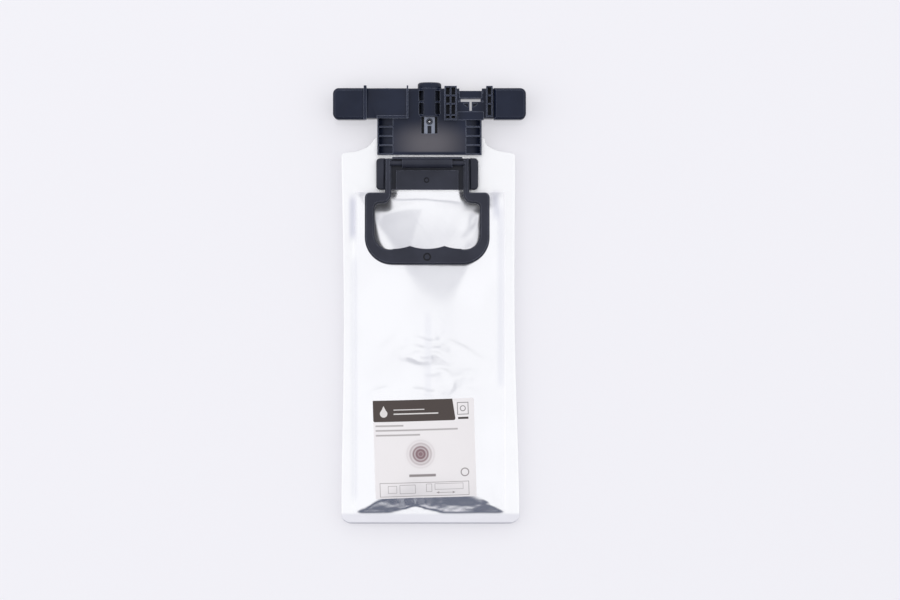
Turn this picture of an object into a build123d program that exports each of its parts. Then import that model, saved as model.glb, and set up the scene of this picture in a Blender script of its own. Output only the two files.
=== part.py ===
from build123d import *
import os
from math import atan2, degrees, sqrt

# A large inkjet ink pack, lying on its back: a sealed foil bag of ink hangs from a moulded
# connector head, and a carry handle folds down over the bag.
# Frame: +X across the pack, +Y towards the head's outlet, +Z up off the surface it lies on.
# The origin is the middle of the footprint. Lengths are in millimetres.

# Bag: two foil films welded round the edge
BAG_LENGTH = 216.6
BAG_WIDTH = 101.6
BAG_FLARE = 1.3          # extra half width of the flat bottom corners
BAG_WAIST = 0.7          # half width drawn in where the ink fills the bag out
BAG_CORNER_R = 5.0
SHOULDER_RUN = 17.2      # the curve from the shoulder's flat up to the neck, along X
SHOULDER_RISE = 8.6      # the same curve along Y
SHOULDER_CORNER_R = 1.2
SIDE_SEAM = 7.0
BOTTOM_SEAM = 6.4
TOP_SEAM = 23.0          # wide weld below the shoulders, under the handle's base
WELD_THICK = 0.8
FILM = 0.4               # one film over the spout, drawn thicker than the foil
SEAM_Z = 7.0             # height of the weld above the surface
CROWN = 11.0             # how far the ink lifts the upper film
BELLY = 10.0             # how far it would drop the lower film, which the surface then flattens
TOP_SLOPE = 70.0         # from the top weld to where the bag is full
BOTTOM_SLOPE = 26.0
FOLD_X = 8.0             # three-cornered dent in the upper film, deepest under the grip
FOLD_HALF = 19.0
FOLD_DEPTH = 0.9
FOLD_FROM = 26.0         # its upper tip, its deepest place and its lower tip, below the top weld
FOLD_MIDDLE = 38.0
FOLD_TO = 73.0
FOLD_TO_X = 1.5
BOAT_TAPER = 7.5         # the films' slope beside the spout's tongue
NECK_WIDTH = 56.6        # bag neck inside the head
NECK_INSERT = 12.2       # how far that neck runs up into the head, from the end of its cover
NECK_STEP = 1.0          # straight foot of the neck above the shoulder curve
SHOULDER_COVER = 1.5     # the head's neck cover ends this far below the shoulder's line

# Spout: the rigid piece welded into the neck
TONGUE_WIDTH = 33.0
TONGUE_THICK = 3.0
TONGUE_PAST_HEAD = 20.2  # reach below the head, under the handle's base
TONGUE_CORNER = 3.0
TUBE_OD = 10.8
TUBE_ID = 8.4
TUBE_PROUD = 1.6         # end of the tube ahead of the head's front
STEM_WIDTH = 20.0        # between the tongue and the tube
CHANNEL = 2.0            # square ink channel through the tongue
TAB_WIDTH = 6.1          # lock block that shows in the neck's window
TAB_GROOVE = 2.4
TAB_TOP_Z = 12.2
TAB_SET_IN = 1.1         # the window's front edge, from the back of the head's deck
TAB_WINDOW = 9.5
TAB_WINDOW_LENGTH = 10.0
BALL_R = 1.2             # steel ball that plugs the filling hole in the lock block
BALL_BANDS = 6
BALL_SUNK = 0.4          # its top, below the lock block's
BALL_SET_BACK = 19.4     # from the head's front
FIT = 0.1                # gap between pieces that are pushed together

# Connector head, two moulded shells
HEAD_WIDTH = 112.3
HEAD_DEPTH = 17.5
HEAD_TOP = 16.0
DECK_Z = 12.6
PANEL_Z = 14.4
WING_LENGTH = 18.7
WING_DEPTH = 18.2
WING_TOP = 15.4
WING_BOTTOM = 2.0
WING_CORNER_R = 3.4
WING_EDGE = 1.3
EDGE_R = 1.9             # rounding along the head's front
WALL = 1.6
RIB = 0.8
NECK_PLATE_WIDTH = 60.8
NECK_PLATE_LENGTH = 21.3
NECK_GAP = 0.3           # room between the shells and the bag's neck
POCKET_BAND = 9.1        # width of the rib ladder down each side of the neck plate
POCKET_COUNT = 4
POCKET_STEP = 1.0        # depth of a pocket at its inner end
POCKET_FLOOR_Z = 8.5     # lowest, at the outer wall
SIDE_UNDER_Z = 7.7       # underside of the neck cover over the flat weld
OUTLET_Z = 8.6
COLLAR_OD = 13.8
COLLAR_ID = 7.0
COLLAR_EDGE = 0.9
NOSE = 3.4               # collar ahead of the head's front
CREST_HALF = 3.3         # crest of the outlet's housing, between its windows
TOWER_WINDOW_WIDTH = 2.9
TOWER_WINDOWS = ((1.4, 6.0), (8.5, 6.7))  # each window's set-back from the front, and length
PANEL_FROM = 12.4        # raised panel left of the outlet, distances from the outlet's axis
PANEL_TO = 36.6
PANEL_RIB_PROUD = 1.5    # thin upright ribs at the panel's two ends, ahead of the front
PANEL_LIP = 1.4          # raised edge along the back of the panel
PANEL_LIP_END = 6.0      # its end, from the wing's side of the panel
PANEL_LIP_RISE = 0.4
LADDER_X = 12.3          # block of cells right of the outlet
LADDER_WIDTH = 7.2
LADDER_ROWS = (4.4, 4.0, 5.7, 1.7)
END_LADDER_X = 34.9      # block of cells beside the right wing
END_LADDER_WIDTH = 3.8
END_LADDER_ROWS = (4.4, 4.0, 6.4)
LADDER_PROUD = 1.2
CELL_FLOOR_Z = 8.6
SOCKET_X = 24.5          # round locating socket in the left panel's front
SOCKET_R = 2.0
SOCKET_Z = 10.4
SOCKET_WALL = 1.2
SOCKET_DEPTH = 9.0
CHIP_X = 23.95           # chip seat between the two ladders
CHIP_SEAT_WIDTH = 13.1
CHIP_SET_BACK = 1.4
CHIP_RECESS = 4.1        # sunk slope behind the chip, front to back
CHIP_SLOT_FROM = 4.7     # open slot behind it, from the chip's front
CHIP_SLOT_LENGTH = 11.5
CHIP_SLOT_WIDTH = 1.8
CHIP_STEM_WIDTH = 1.3
CHIP_STEM_LENGTH = 5.2
CHIP_LIP_Z = 13.4
CHIP_LIP_SIDE = 1.0      # lip behind the seat, past the seat's two sides
CHIP_LIP_FRONT = 3.8     # the same lip ahead of the deck's back edge
CHIP_LIP_BACK = 1.0      # and behind it
CHIP_SLOPE_END_Z = 10.7  # lower end of the sunk slope, over the board
STUD_SIZE = 0.8          # small square studs at the seat's four corners
STUD_RISE = 0.4
STUD_SPACING = (13.9, 5.2)
STUD_SET_BACK = 3.75     # middle of the four, from the chip's front
SMILE_WIDTH = 8.5        # curved pocket behind the slot
SMILE_DROP = 2.4
SMILE_GAP = 0.9
SMILE_DEPTH = 1.5
BOARD_WIDTH = 12.4
BOARD_HEIGHT = 8.0
BOARD_THICK = 1.0
BOARD_BOTTOM_Z = 1.9
PAD_SIZE = 1.4
PAD_HEIGHT = 2.2
PAD_PITCH = 2.2
PAD_ROW_PITCH = 3.9
PAD_COUNT = 4            # in the shorter row; the other has one more
PAD_THICK = 0.1
PACKAGE_SIZE = 4.0
PACKAGE_THICK = 0.8
PACKAGE_EDGE = 0.3

# Outlet valve
SEAL_LENGTH = 4.6
SEAL_BORE = 4.6
POPPET_OD = 7.6
POPPET_LENGTH = 5.2
VALVE_TRAVEL = 3.0
SPRING_LENGTH = VALVE_TRAVEL + 4.0  # room behind the valve, the last of it for the closed coils
SPRING_OD = 6.2
SPRING_TURNS = 2.5
WIRE = 0.6
POPPET_GUIDE_R = 1.9     # stem of the valve inside the spring
NOTCH_COUNT = 3          # ways for the ink past the valve
NOTCH_WIDTH = 1.6
NOTCH_DEPTH = 0.6

# Handle and its base
BASE_X = -1.3            # middle of both, as the photo shows them, left of the head's middle
BASE_LENGTH = 18.3
BASE_TO_HEAD = 2.0
BASE_FLOOR = 1.0
BASE_GAP = 0.2           # between the base and the film over the spout
BASE_CORNER_R = 2.3
PAD_TO_ARM = 2.9         # raised pad to the arm beside it
PAD_RISE = 2.6
LOBE_WIDTH = 4.8         # side lobes, outside the arms
LOBE_RISE = 4.0
LOBE_EDGE = 0.6
LOBE_FOOT = 1.5          # side lobes reach this far down past the base's floor
PEG_SIZE = 3.0
PEG_SPACING = 24.0
PEG_SET_BACK = 11.7      # from the base's front edge
PEG_DEPTH = 2.6
BARREL_TO_ARM = 6.5
BARREL_TO_PAD = 1.5
BARREL_R = 2.7
HINGE_SET_BACK = 2.9     # hinge axis behind the base's front edge
SHAFT_R = 1.5
SHAFT_PLAY = 0.05
SNAP_MOUTH = 2.4         # slot under the barrel that the shaft snaps in through
HANDLE_REACH = 59.3      # hinge axis to the far edge of the grip
HANDLE_WIDTH = 72.6
HANDLE_THICK = 4.6
HANDLE_END_R = 2.9
ARM_INSET = 11.7         # outside of an arm, from the loop's outside
ARM_WIDTH = 3.6
SHOULDER_AT = 17.1       # hinge axis to the loop's shoulders
LOOP_SHOULDER = 6.4
LOOP_SIDE = 5.7
LOOP_GRIP = 8.9          # grip bar, from its far edge to the bottom of a finger hollow
LOOP_CORNER_R = 16.0
OPENING_CORNER_R = 8.7
SMALL_CORNER_R = 3.0
SHOULDER_R = 5.2         # inner curve from an arm into the loop
FINGER_PITCH = 20.0
FINGER_COUNT = 3
FINGER_RISE = 1.7        # the peaks between two finger hollows
LIP = 0.8                # ledge round the lower part of the handle
LIP_THICK = 2.0
RUN_GAP = 0.3            # room beside and under what moves
REST_GAP = 0.45          # between the folded handle and the bag

# Label, stuck on the upper film
LABEL_WIDTH = 61.4
LABEL_LENGTH = 57.2
LABEL_X = -2.8
LABEL_TO_END = 15.6      # lower edge of the label to the end of the bag
LABEL_THICK = 0.25
LABEL_GAP = 0.05
LABEL_CORNER = 0.6

# Places worked out from the sizes, front to back
overall = NOSE + HEAD_DEPTH + NECK_PLATE_LENGTH + BAG_LENGTH - SHOULDER_COVER
tip_y = overall / 2
front_y = tip_y - NOSE
head_back_y = front_y - HEAD_DEPTH
plate_end_y = head_back_y - NECK_PLATE_LENGTH
shoulder_y = plate_end_y + SHOULDER_COVER
bag_end_y = shoulder_y - BAG_LENGTH
chamber_top_y = shoulder_y - TOP_SEAM
chamber_end_y = bag_end_y + BOTTOM_SEAM
chamber_half = BAG_WIDTH / 2 - SIDE_SEAM
neck_foot_y = shoulder_y + SHOULDER_RISE + NECK_STEP
neck_front_y = plate_end_y + NECK_INSERT
tongue_end_y = plate_end_y - TONGUE_PAST_HEAD

weld_top_z = SEAM_Z + WELD_THICK / 2
tongue_top_z = SEAM_Z + TONGUE_THICK / 2
tongue_bottom_z = SEAM_Z - TONGUE_THICK / 2
neck_top_z = tongue_top_z + FIT + FILM
neck_bottom_z = tongue_bottom_z - FIT - FILM
cover_under_z = neck_top_z + NECK_GAP
base_over_z = neck_bottom_z - NECK_GAP

wing_root = HEAD_WIDTH / 2 - WING_LENGTH
wing_back_y = front_y - WING_DEPTH
chip_front_y = front_y - CHIP_SET_BACK

arm_outer = HANDLE_WIDTH / 2 - ARM_INSET
arm_inner = arm_outer - ARM_WIDTH
barrel_half = arm_inner - BARREL_TO_ARM
base_half = arm_outer + RUN_GAP + LOBE_WIDTH
handle_base_z = neck_top_z + BASE_GAP
floor_top_z = handle_base_z + BASE_FLOOR
base_front_y = plate_end_y - BASE_TO_HEAD
base_back_y = base_front_y - BASE_LENGTH
hinge_y = base_front_y - HINGE_SET_BACK
hinge_z = floor_top_z + RUN_GAP + HANDLE_END_R

seal_front_y = front_y + TUBE_PROUD
seal_back_y = seal_front_y - SEAL_LENGTH
poppet_back_y = seal_back_y - POPPET_LENGTH
tube_floor_y = poppet_back_y - SPRING_LENGTH
tube_end_y = tube_floor_y - WALL
ball_y = front_y - BALL_SET_BACK
tab_front_y = head_back_y + TAB_SET_IN
peg_y = base_front_y - PEG_SET_BACK
board_back_y = chip_front_y - BOARD_THICK
disc_back_y = poppet_back_y + POPPET_LENGTH / 2


def rect(x0, x1, y0, y1):
    """A rectangle between two pairs of limits."""
    return Pos((x0 + x1) / 2, (y0 + y1) / 2) * Rectangle(abs(x1 - x0), abs(y1 - y0))


def slab(sketch, z0, z1):
    """A flat sketch raised from height z0 to height z1."""
    return extrude(Pos(0, 0, z0) * sketch, z1 - z0)


def rod_y(radius, y0, y1, z, x=0):
    """A round bar along Y between y0 and y1."""
    return extrude(Plane((x, y0, z), z_dir=(0, 1, 0)) * Circle(radius), y1 - y0)


def rod_x(radius, half_length, y, z):
    """A round bar along X, centred."""
    return extrude(Plane((-half_length, y, z), z_dir=(1, 0, 0)) * Circle(radius), 2 * half_length)


def arc_radius(run, rise):
    """Radius of an arc that climbs this rise over this run and ends level."""
    return (run ** 2 + rise ** 2) / (2 * rise)


def arc_height(run, rise, along):
    """Height on that arc at a distance from its foot, and level beyond its run."""
    radius = arc_radius(run, rise)
    short = max(run - max(along, 0), 0)
    return sqrt(radius ** 2 - short ** 2) - radius + rise


def upper_film_z(x, y):
    """Height of the upper film: the lower of the arcs that cross there."""
    across = arc_height(chamber_half, CROWN, chamber_half - abs(x))
    top = arc_height(TOP_SLOPE, CROWN, chamber_top_y - y)
    bottom = arc_height(BOTTOM_SLOPE, CROWN, y - chamber_end_y)
    return weld_top_z + min(across, top, bottom)


def pillow(rise, grow=0):
    """Ink under a film: an arc across the bag, crossed with arcs at its two ends."""
    top_z = weld_top_z + rise
    across_r = arc_radius(chamber_half, rise)
    across = rod_y(across_r + grow, bag_end_y, shoulder_y, top_z - across_r)
    full_from = chamber_end_y + BOTTOM_SLOPE
    full_to = chamber_top_y - TOP_SLOPE
    profile = rect(full_from, full_to, SEAM_Z, top_z + grow)
    ends = ((full_to, shoulder_y, TOP_SLOPE), (full_from, bag_end_y, BOTTOM_SLOPE))
    for middle, end, run in ends:
        radius = arc_radius(run, rise)
        arc = Pos(middle, top_z - radius) * Circle(radius + grow)
        profile += arc & rect(middle, end, SEAM_Z, top_z + grow)
    return across & extrude(Plane.YZ * profile, BAG_WIDTH / 2, both=True)


def film_fold():
    """Three-cornered dent in the upper film, as a pit with four flat sides."""
    middle_y = chamber_top_y - FOLD_MIDDLE
    rim = []
    for x, y in (
        (FOLD_X - FOLD_HALF, middle_y),
        (FOLD_TO_X, chamber_top_y - FOLD_TO),
        (FOLD_X + FOLD_HALF, middle_y),
        (FOLD_X, chamber_top_y - FOLD_FROM),
    ):
        rim.append((x, y, upper_film_z(x, y)))
    bottom = (FOLD_X, middle_y, upper_film_z(FOLD_X, middle_y) - FOLD_DEPTH)
    above = (FOLD_X, middle_y, weld_top_z + 2 * CROWN)
    sides = []
    for corner, other in zip(rim, rim[1:] + rim[:1]):
        for point in (bottom, above):
            sides.append(Face(Wire.make_polygon([corner, other, point])))
    return Solid(Shell(sides))


def bag_outline():
    """The bag's outline, with its neck, shoulders and rounded bottom corners."""
    half = BAG_WIDTH / 2
    neck = NECK_WIDTH / 2
    curve_x = half - SHOULDER_CORNER_R - SHOULDER_RUN
    low_half = half + BAG_FLARE
    waist_y = (shoulder_y + bag_end_y) / 2
    right = [
        Line((0, neck_front_y), (neck, neck_front_y)),
        Line((neck, neck_front_y), (neck, neck_foot_y)),
        Line((neck, neck_foot_y), (curve_x, shoulder_y + SHOULDER_RISE)),
        Spline(
            (curve_x, shoulder_y + SHOULDER_RISE),
            (half - SHOULDER_CORNER_R, shoulder_y),
            tangents=[(0.55, -1), (1, 0)],
        ),
        Line((half - SHOULDER_CORNER_R, shoulder_y), (half, shoulder_y - SHOULDER_CORNER_R)),
        Spline(
            (half, shoulder_y - SHOULDER_CORNER_R),
            (half - BAG_WAIST, waist_y),
            (low_half, bag_end_y + BAG_CORNER_R),
            tangents=[(0, -1), (0, -1)],
        ),
        ThreePointArc(
            (low_half, bag_end_y + BAG_CORNER_R),
            (
                low_half - BAG_CORNER_R * (1 - sqrt(0.5)),
                bag_end_y + BAG_CORNER_R * (1 - sqrt(0.5)),
            ),
            (low_half - BAG_CORNER_R, bag_end_y),
        ),
        Line((low_half - BAG_CORNER_R, bag_end_y), (0, bag_end_y)),
    ]
    half_outline = Curve() + right
    return make_face(half_outline + mirror(half_outline, about=Plane.YZ))


def tongue_plan(grow=0):
    """Plan of the spout's tongue, from inside the head to under the handle's base."""
    plan = rect(-TONGUE_WIDTH / 2 - grow, TONGUE_WIDTH / 2 + grow, tongue_end_y - grow, neck_front_y)
    ends = plan.vertices().sort_by(Axis.Y)[:2]
    return chamfer(ends, TONGUE_CORNER)


def base_pegs(size, z0, z1):
    """The two square pegs that hold the handle's base, or the holes that they go in."""
    pegs = Pos(BASE_X, peg_y) * GridLocations(PEG_SPACING, 0, 2, 1) * Rectangle(size, size)
    return slab(Sketch() + pegs, z0, z1)


def neck_boat():
    """The films' bulge over the spout's tongue, tapering down to the flat weld."""
    foot = offset(tongue_plan(), BOAT_TAPER, kind=Kind.INTERSECTION) & bag_outline()
    crest = offset(tongue_plan(), FIT + FILM, kind=Kind.INTERSECTION) & bag_outline()
    upper = loft([Pos(0, 0, SEAM_Z) * foot.face(), Pos(0, 0, neck_top_z) * crest.face()])
    lower = loft([Pos(0, 0, neck_bottom_z) * crest.face(), Pos(0, 0, SEAM_Z) * foot.face()])
    return upper + lower


def ink_bag():
    weld = slab(bag_outline(), SEAM_Z - WELD_THICK / 2, weld_top_z)
    belly = mirror(pillow(BELLY), about=Plane.XY.offset(SEAM_Z))
    belly &= slab(rect(-BAG_WIDTH, BAG_WIDTH, bag_end_y, shoulder_y), 0, SEAM_Z)
    bag = weld + pillow(CROWN) + belly + neck_boat() - film_fold()
    bag -= slab(tongue_plan(FIT), tongue_bottom_z - FIT, tongue_top_z + FIT)
    return bag - base_pegs(PEG_SIZE + 2 * FIT, SEAM_Z, handle_base_z)


def bag_label():
    low_y = bag_end_y + LABEL_TO_END
    plan = rect(LABEL_X - LABEL_WIDTH / 2, LABEL_X + LABEL_WIDTH / 2, low_y, low_y + LABEL_LENGTH)
    plan = chamfer(plan.vertices(), LABEL_CORNER)
    skin = pillow(CROWN, LABEL_GAP + LABEL_THICK) - pillow(CROWN, LABEL_GAP)
    return skin & slab(plan, SEAM_Z, overall)


def spout_body():
    """The rigid spout: tongue in the bag's neck, lock block, and the tube that holds the valve."""
    body = slab(tongue_plan(), tongue_bottom_z, tongue_top_z)
    stem = rect(-STEM_WIDTH / 2, STEM_WIDTH / 2, neck_front_y, tube_end_y)
    body += slab(stem, tongue_bottom_z, tongue_top_z)
    tab_end_y = neck_front_y + NECK_GAP
    tab = rect(-TAB_WIDTH / 2, TAB_WIDTH / 2, tab_end_y, tube_end_y)
    body += slab(tab, tongue_top_z, TAB_TOP_Z)
    groove = rect(-TAB_GROOVE / 2, TAB_GROOVE / 2, tab_end_y, ball_y - 2 * BALL_R)
    body -= slab(groove, TAB_TOP_Z - RIB, TAB_TOP_Z)
    body -= slab(Pos(0, ball_y) * Circle(BALL_R + FIT / 2), SEAM_Z, TAB_TOP_Z)
    body += rod_y(TUBE_OD / 2, tube_end_y, seal_front_y, OUTLET_Z)
    body -= rod_y(TUBE_ID / 2, tube_floor_y, seal_front_y, OUTLET_Z)
    channel = rect(-CHANNEL / 2, CHANNEL / 2, tongue_end_y, tube_floor_y)
    body -= slab(channel, SEAM_Z - CHANNEL / 2, SEAM_Z + CHANNEL / 2)
    return body - base_pegs(PEG_SIZE + 2 * FIT, tongue_bottom_z, tongue_top_z)


def plug_ball():
    """Steel ball, its round drawn as bands so that it stays light."""
    half = RegularPolygon(BALL_R, BALL_BANDS) & rect(0, BALL_R, -BALL_R, BALL_R)
    ball = revolve(Plane.XZ * half, Axis.Z)
    return Pos(0, ball_y, TAB_TOP_Z - BALL_SUNK - BALL_R) * ball


def outlet_collar():
    """Round nose that caps the tube and guides the printer's nozzle."""
    ring = rod_y(COLLAR_OD / 2, front_y, tip_y, OUTLET_Z)
    ring = chamfer(ring.edges().group_by(Axis.Y)[-1], COLLAR_EDGE)
    ring -= rod_y(COLLAR_ID / 2, front_y, tip_y, OUTLET_Z)
    return ring - rod_y(TUBE_OD / 2 + FIT, front_y, seal_front_y, OUTLET_Z)


def outlet_seal():
    """Rubber ring in the mouth of the tube."""
    radius = TUBE_ID / 2 - FIT / 2
    ring = rod_y(radius, seal_back_y, seal_front_y, OUTLET_Z)
    return ring - rod_y(SEAL_BORE / 2, seal_back_y, seal_front_y, OUTLET_Z)


def outlet_poppet():
    """Valve that the spring holds against the seal, with a stem inside the spring."""
    valve = rod_y(POPPET_OD / 2, disc_back_y, seal_back_y, OUTLET_Z)
    back = Plane((0, disc_back_y, OUTLET_Z), z_dir=(0, 1, 0))
    notch = Box(2 * NOTCH_DEPTH, NOTCH_WIDTH, 2 * POPPET_LENGTH)
    valve -= back * PolarLocations(POPPET_OD / 2, NOTCH_COUNT) * notch
    return valve + rod_y(POPPET_GUIDE_R, poppet_back_y, disc_back_y, OUTLET_Z)


def outlet_spring():
    """Compression spring between the floor of the tube and the valve."""
    length = disc_back_y - tube_floor_y - WIRE - 2 * FIT
    coil = Helix(length / SPRING_TURNS, length, (SPRING_OD - WIRE) / 2)
    section = Plane(coil @ 0, z_dir=coil % 0) * RegularPolygon(WIRE / 2, 4)
    wire = sweep(section, coil, is_frenet=True)
    start = Plane((0, tube_floor_y + WIRE / 2 + FIT, OUTLET_Z), z_dir=(0, 1, 0))
    return start * wire


def wing_plan():
    """Both wings, with their outer corners rounded."""
    wing = rect(wing_root, HEAD_WIDTH / 2, wing_back_y, front_y)
    wing = fillet(wing.vertices().group_by(Axis.X)[-1], WING_CORNER_R)
    return wing + mirror(wing, about=Plane.YZ)


def wing_shells(z_shell, z_open):
    """Both wings as hollow shells, closed at one height and open at the parting plane."""
    step = 1 if z_shell > z_open else -1
    low, high = sorted((z_shell, z_open))
    wings = slab(wing_plan(), low, high)
    wings = chamfer(wings.edges().group_by(Axis.Z)[-1 if step > 0 else 0], WING_EDGE)
    core_low, core_high = sorted((z_shell - step * WALL, z_open))
    return wings - slab(offset(wing_plan(), -WALL), core_low, core_high)


def front_rounded(solid, at_top=True):
    """Round off the top or bottom edge along the front of a block."""
    edges = solid.edges().filter_by(Axis.X).group_by(Axis.Z)[-1 if at_top else 0]
    return fillet(edges.group_by(Axis.Y)[-1], EDGE_R)


def rib_block(x, width, columns, rows):
    """Upright block of open cells, and the cells themselves."""
    y1 = front_y + LADDER_PROUD
    y0 = y1 - sum(rows) - (len(rows) + 1) * RIB
    block = slab(rect(x - width / 2, x + width / 2, y0, y1), SEAM_Z, HEAD_TOP)
    cell_width = (width - (columns + 1) * RIB) / columns
    cells = Part()
    for column in range(columns):
        x0 = x - width / 2 + RIB + column * (cell_width + RIB)
        y = y1
        for row in rows:
            y -= RIB + row
            cells += slab(rect(x0, x0 + cell_width, y, y + row), CELL_FLOOR_Z, HEAD_TOP)
    return block, cells


def neck_cells():
    """Cells with sloping floors down both sides of the neck cover, deepest at the outer wall."""
    pitch = NECK_PLATE_LENGTH / POCKET_COUNT
    outer = NECK_PLATE_WIDTH / 2 - RIB
    inner = NECK_PLATE_WIDTH / 2 - POCKET_BAND
    profile = Polyline(
        (inner, DECK_Z),
        (inner, DECK_Z - POCKET_STEP),
        (outer, POCKET_FLOOR_Z),
        (outer, DECK_Z),
        close=True,
    )
    cells = Part()
    for index in range(POCKET_COUNT):
        y0 = plate_end_y + index * pitch + RIB
        upright = Plane((0, y0, 0), x_dir=(1, 0, 0), z_dir=(0, -1, 0))
        cells += extrude(upright * make_face(profile), RIB - pitch)
    return cells + mirror(cells, about=Plane.YZ)


def chip_openings():
    """Plan of the slot and stem that go right through the chip seat."""
    slot_y = chip_front_y - CHIP_SLOT_FROM
    half = CHIP_SLOT_LENGTH / 2
    slot = rect(CHIP_X - half, CHIP_X + half, slot_y - CHIP_SLOT_WIDTH, slot_y)
    half = CHIP_STEM_WIDTH / 2
    stem_end_y = slot_y - CHIP_SLOT_WIDTH - CHIP_STEM_LENGTH
    return slot + rect(CHIP_X - half, CHIP_X + half, stem_end_y, slot_y)


def chip_smile():
    """Shallow curved pocket either side of the stem."""
    top_y = chip_front_y - CHIP_SLOT_FROM - CHIP_SLOT_WIDTH - SMILE_GAP
    half, drop = SMILE_WIDTH / 2, SMILE_DROP
    radius = arc_radius(half, drop)
    smile = Pos(CHIP_X, top_y + radius - drop) * Circle(radius)
    smile &= rect(CHIP_X - half, CHIP_X + half, top_y - drop, top_y)
    return smile - rect(CHIP_X - CHIP_STEM_WIDTH, CHIP_X + CHIP_STEM_WIDTH, top_y - drop, top_y)


def chip_slope():
    """The sunk slope that falls forward to the chip board."""
    upright = Plane((CHIP_X - CHIP_SEAT_WIDTH / 2, 0, 0), x_dir=(0, 1, 0), z_dir=(1, 0, 0))
    back = chip_front_y - CHIP_RECESS
    profile = Polyline(
        (back, DECK_Z - RIB),
        (chip_front_y, CHIP_SLOPE_END_Z),
        (chip_front_y, HEAD_TOP),
        (back, HEAD_TOP),
        close=True,
    )
    return extrude(upright * make_face(profile), CHIP_SEAT_WIDTH)


def chip_studs():
    """Four small studs on the deck round the seat."""
    middle = Pos(CHIP_X, chip_front_y - STUD_SET_BACK)
    stud = Rectangle(STUD_SIZE, STUD_SIZE)
    plan = Sketch() + middle * GridLocations(*STUD_SPACING, 2, 2) * stud
    return slab(plan, DECK_Z - RIB, DECK_Z + STUD_RISE)


def board_room():
    """Room for the chip board in the front wall, and for the package behind it."""
    half = BOARD_WIDTH / 2 + FIT
    z0 = BOARD_BOTTOM_Z - FIT
    z1 = BOARD_BOTTOM_Z + BOARD_HEIGHT + FIT
    room = slab(rect(CHIP_X - half, CHIP_X + half, board_back_y, front_y), z0, z1)
    half = PACKAGE_SIZE / 2 + 3 * FIT
    middle = (z0 + z1) / 2
    back = board_back_y - PACKAGE_THICK - 3 * FIT
    pocket = rect(CHIP_X - half, CHIP_X + half, back, board_back_y)
    return room + slab(pocket, middle - half, middle + half)


def seat_front():
    """The front is set back where the chip sits."""
    half = CHIP_SEAT_WIDTH / 2
    return slab(rect(CHIP_X - half, CHIP_X + half, chip_front_y, front_y), 0, HEAD_TOP)


def tower_windows():
    """Two pairs of windows beside the crest of the outlet's housing."""
    plan = Sketch()
    for set_back, length in TOWER_WINDOWS:
        back_y = front_y - set_back - length
        window = rect(CREST_HALF, CREST_HALF + TOWER_WINDOW_WIDTH, back_y, back_y + length)
        plan += window + mirror(window, about=Plane.YZ)
    return slab(plan, SEAM_Z + RIB, HEAD_TOP + RIB)


def panel_cavity(z0, z1):
    """The hollow under the raised panel, on one side of the parting plane."""
    inner_x = COLLAR_OD / 2 + WALL
    plan = rect(-wing_root + WALL, -inner_x, head_back_y + WALL, front_y - WALL)
    return slab(plan, z0, z1)


def neck_walls():
    """Plan of the walls beside the bag's neck, ahead of its shoulders."""
    wall = rect(NECK_WIDTH / 2 + NECK_GAP, NECK_PLATE_WIDTH / 2, neck_foot_y + NECK_GAP, head_back_y)
    return wall + mirror(wall, about=Plane.YZ)


def stem_room():
    """Plan of the room for the spout's stem, ahead of the bag's neck."""
    half = STEM_WIDTH / 2 + NECK_GAP
    return rect(-half, half, neck_front_y, tube_end_y)


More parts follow.
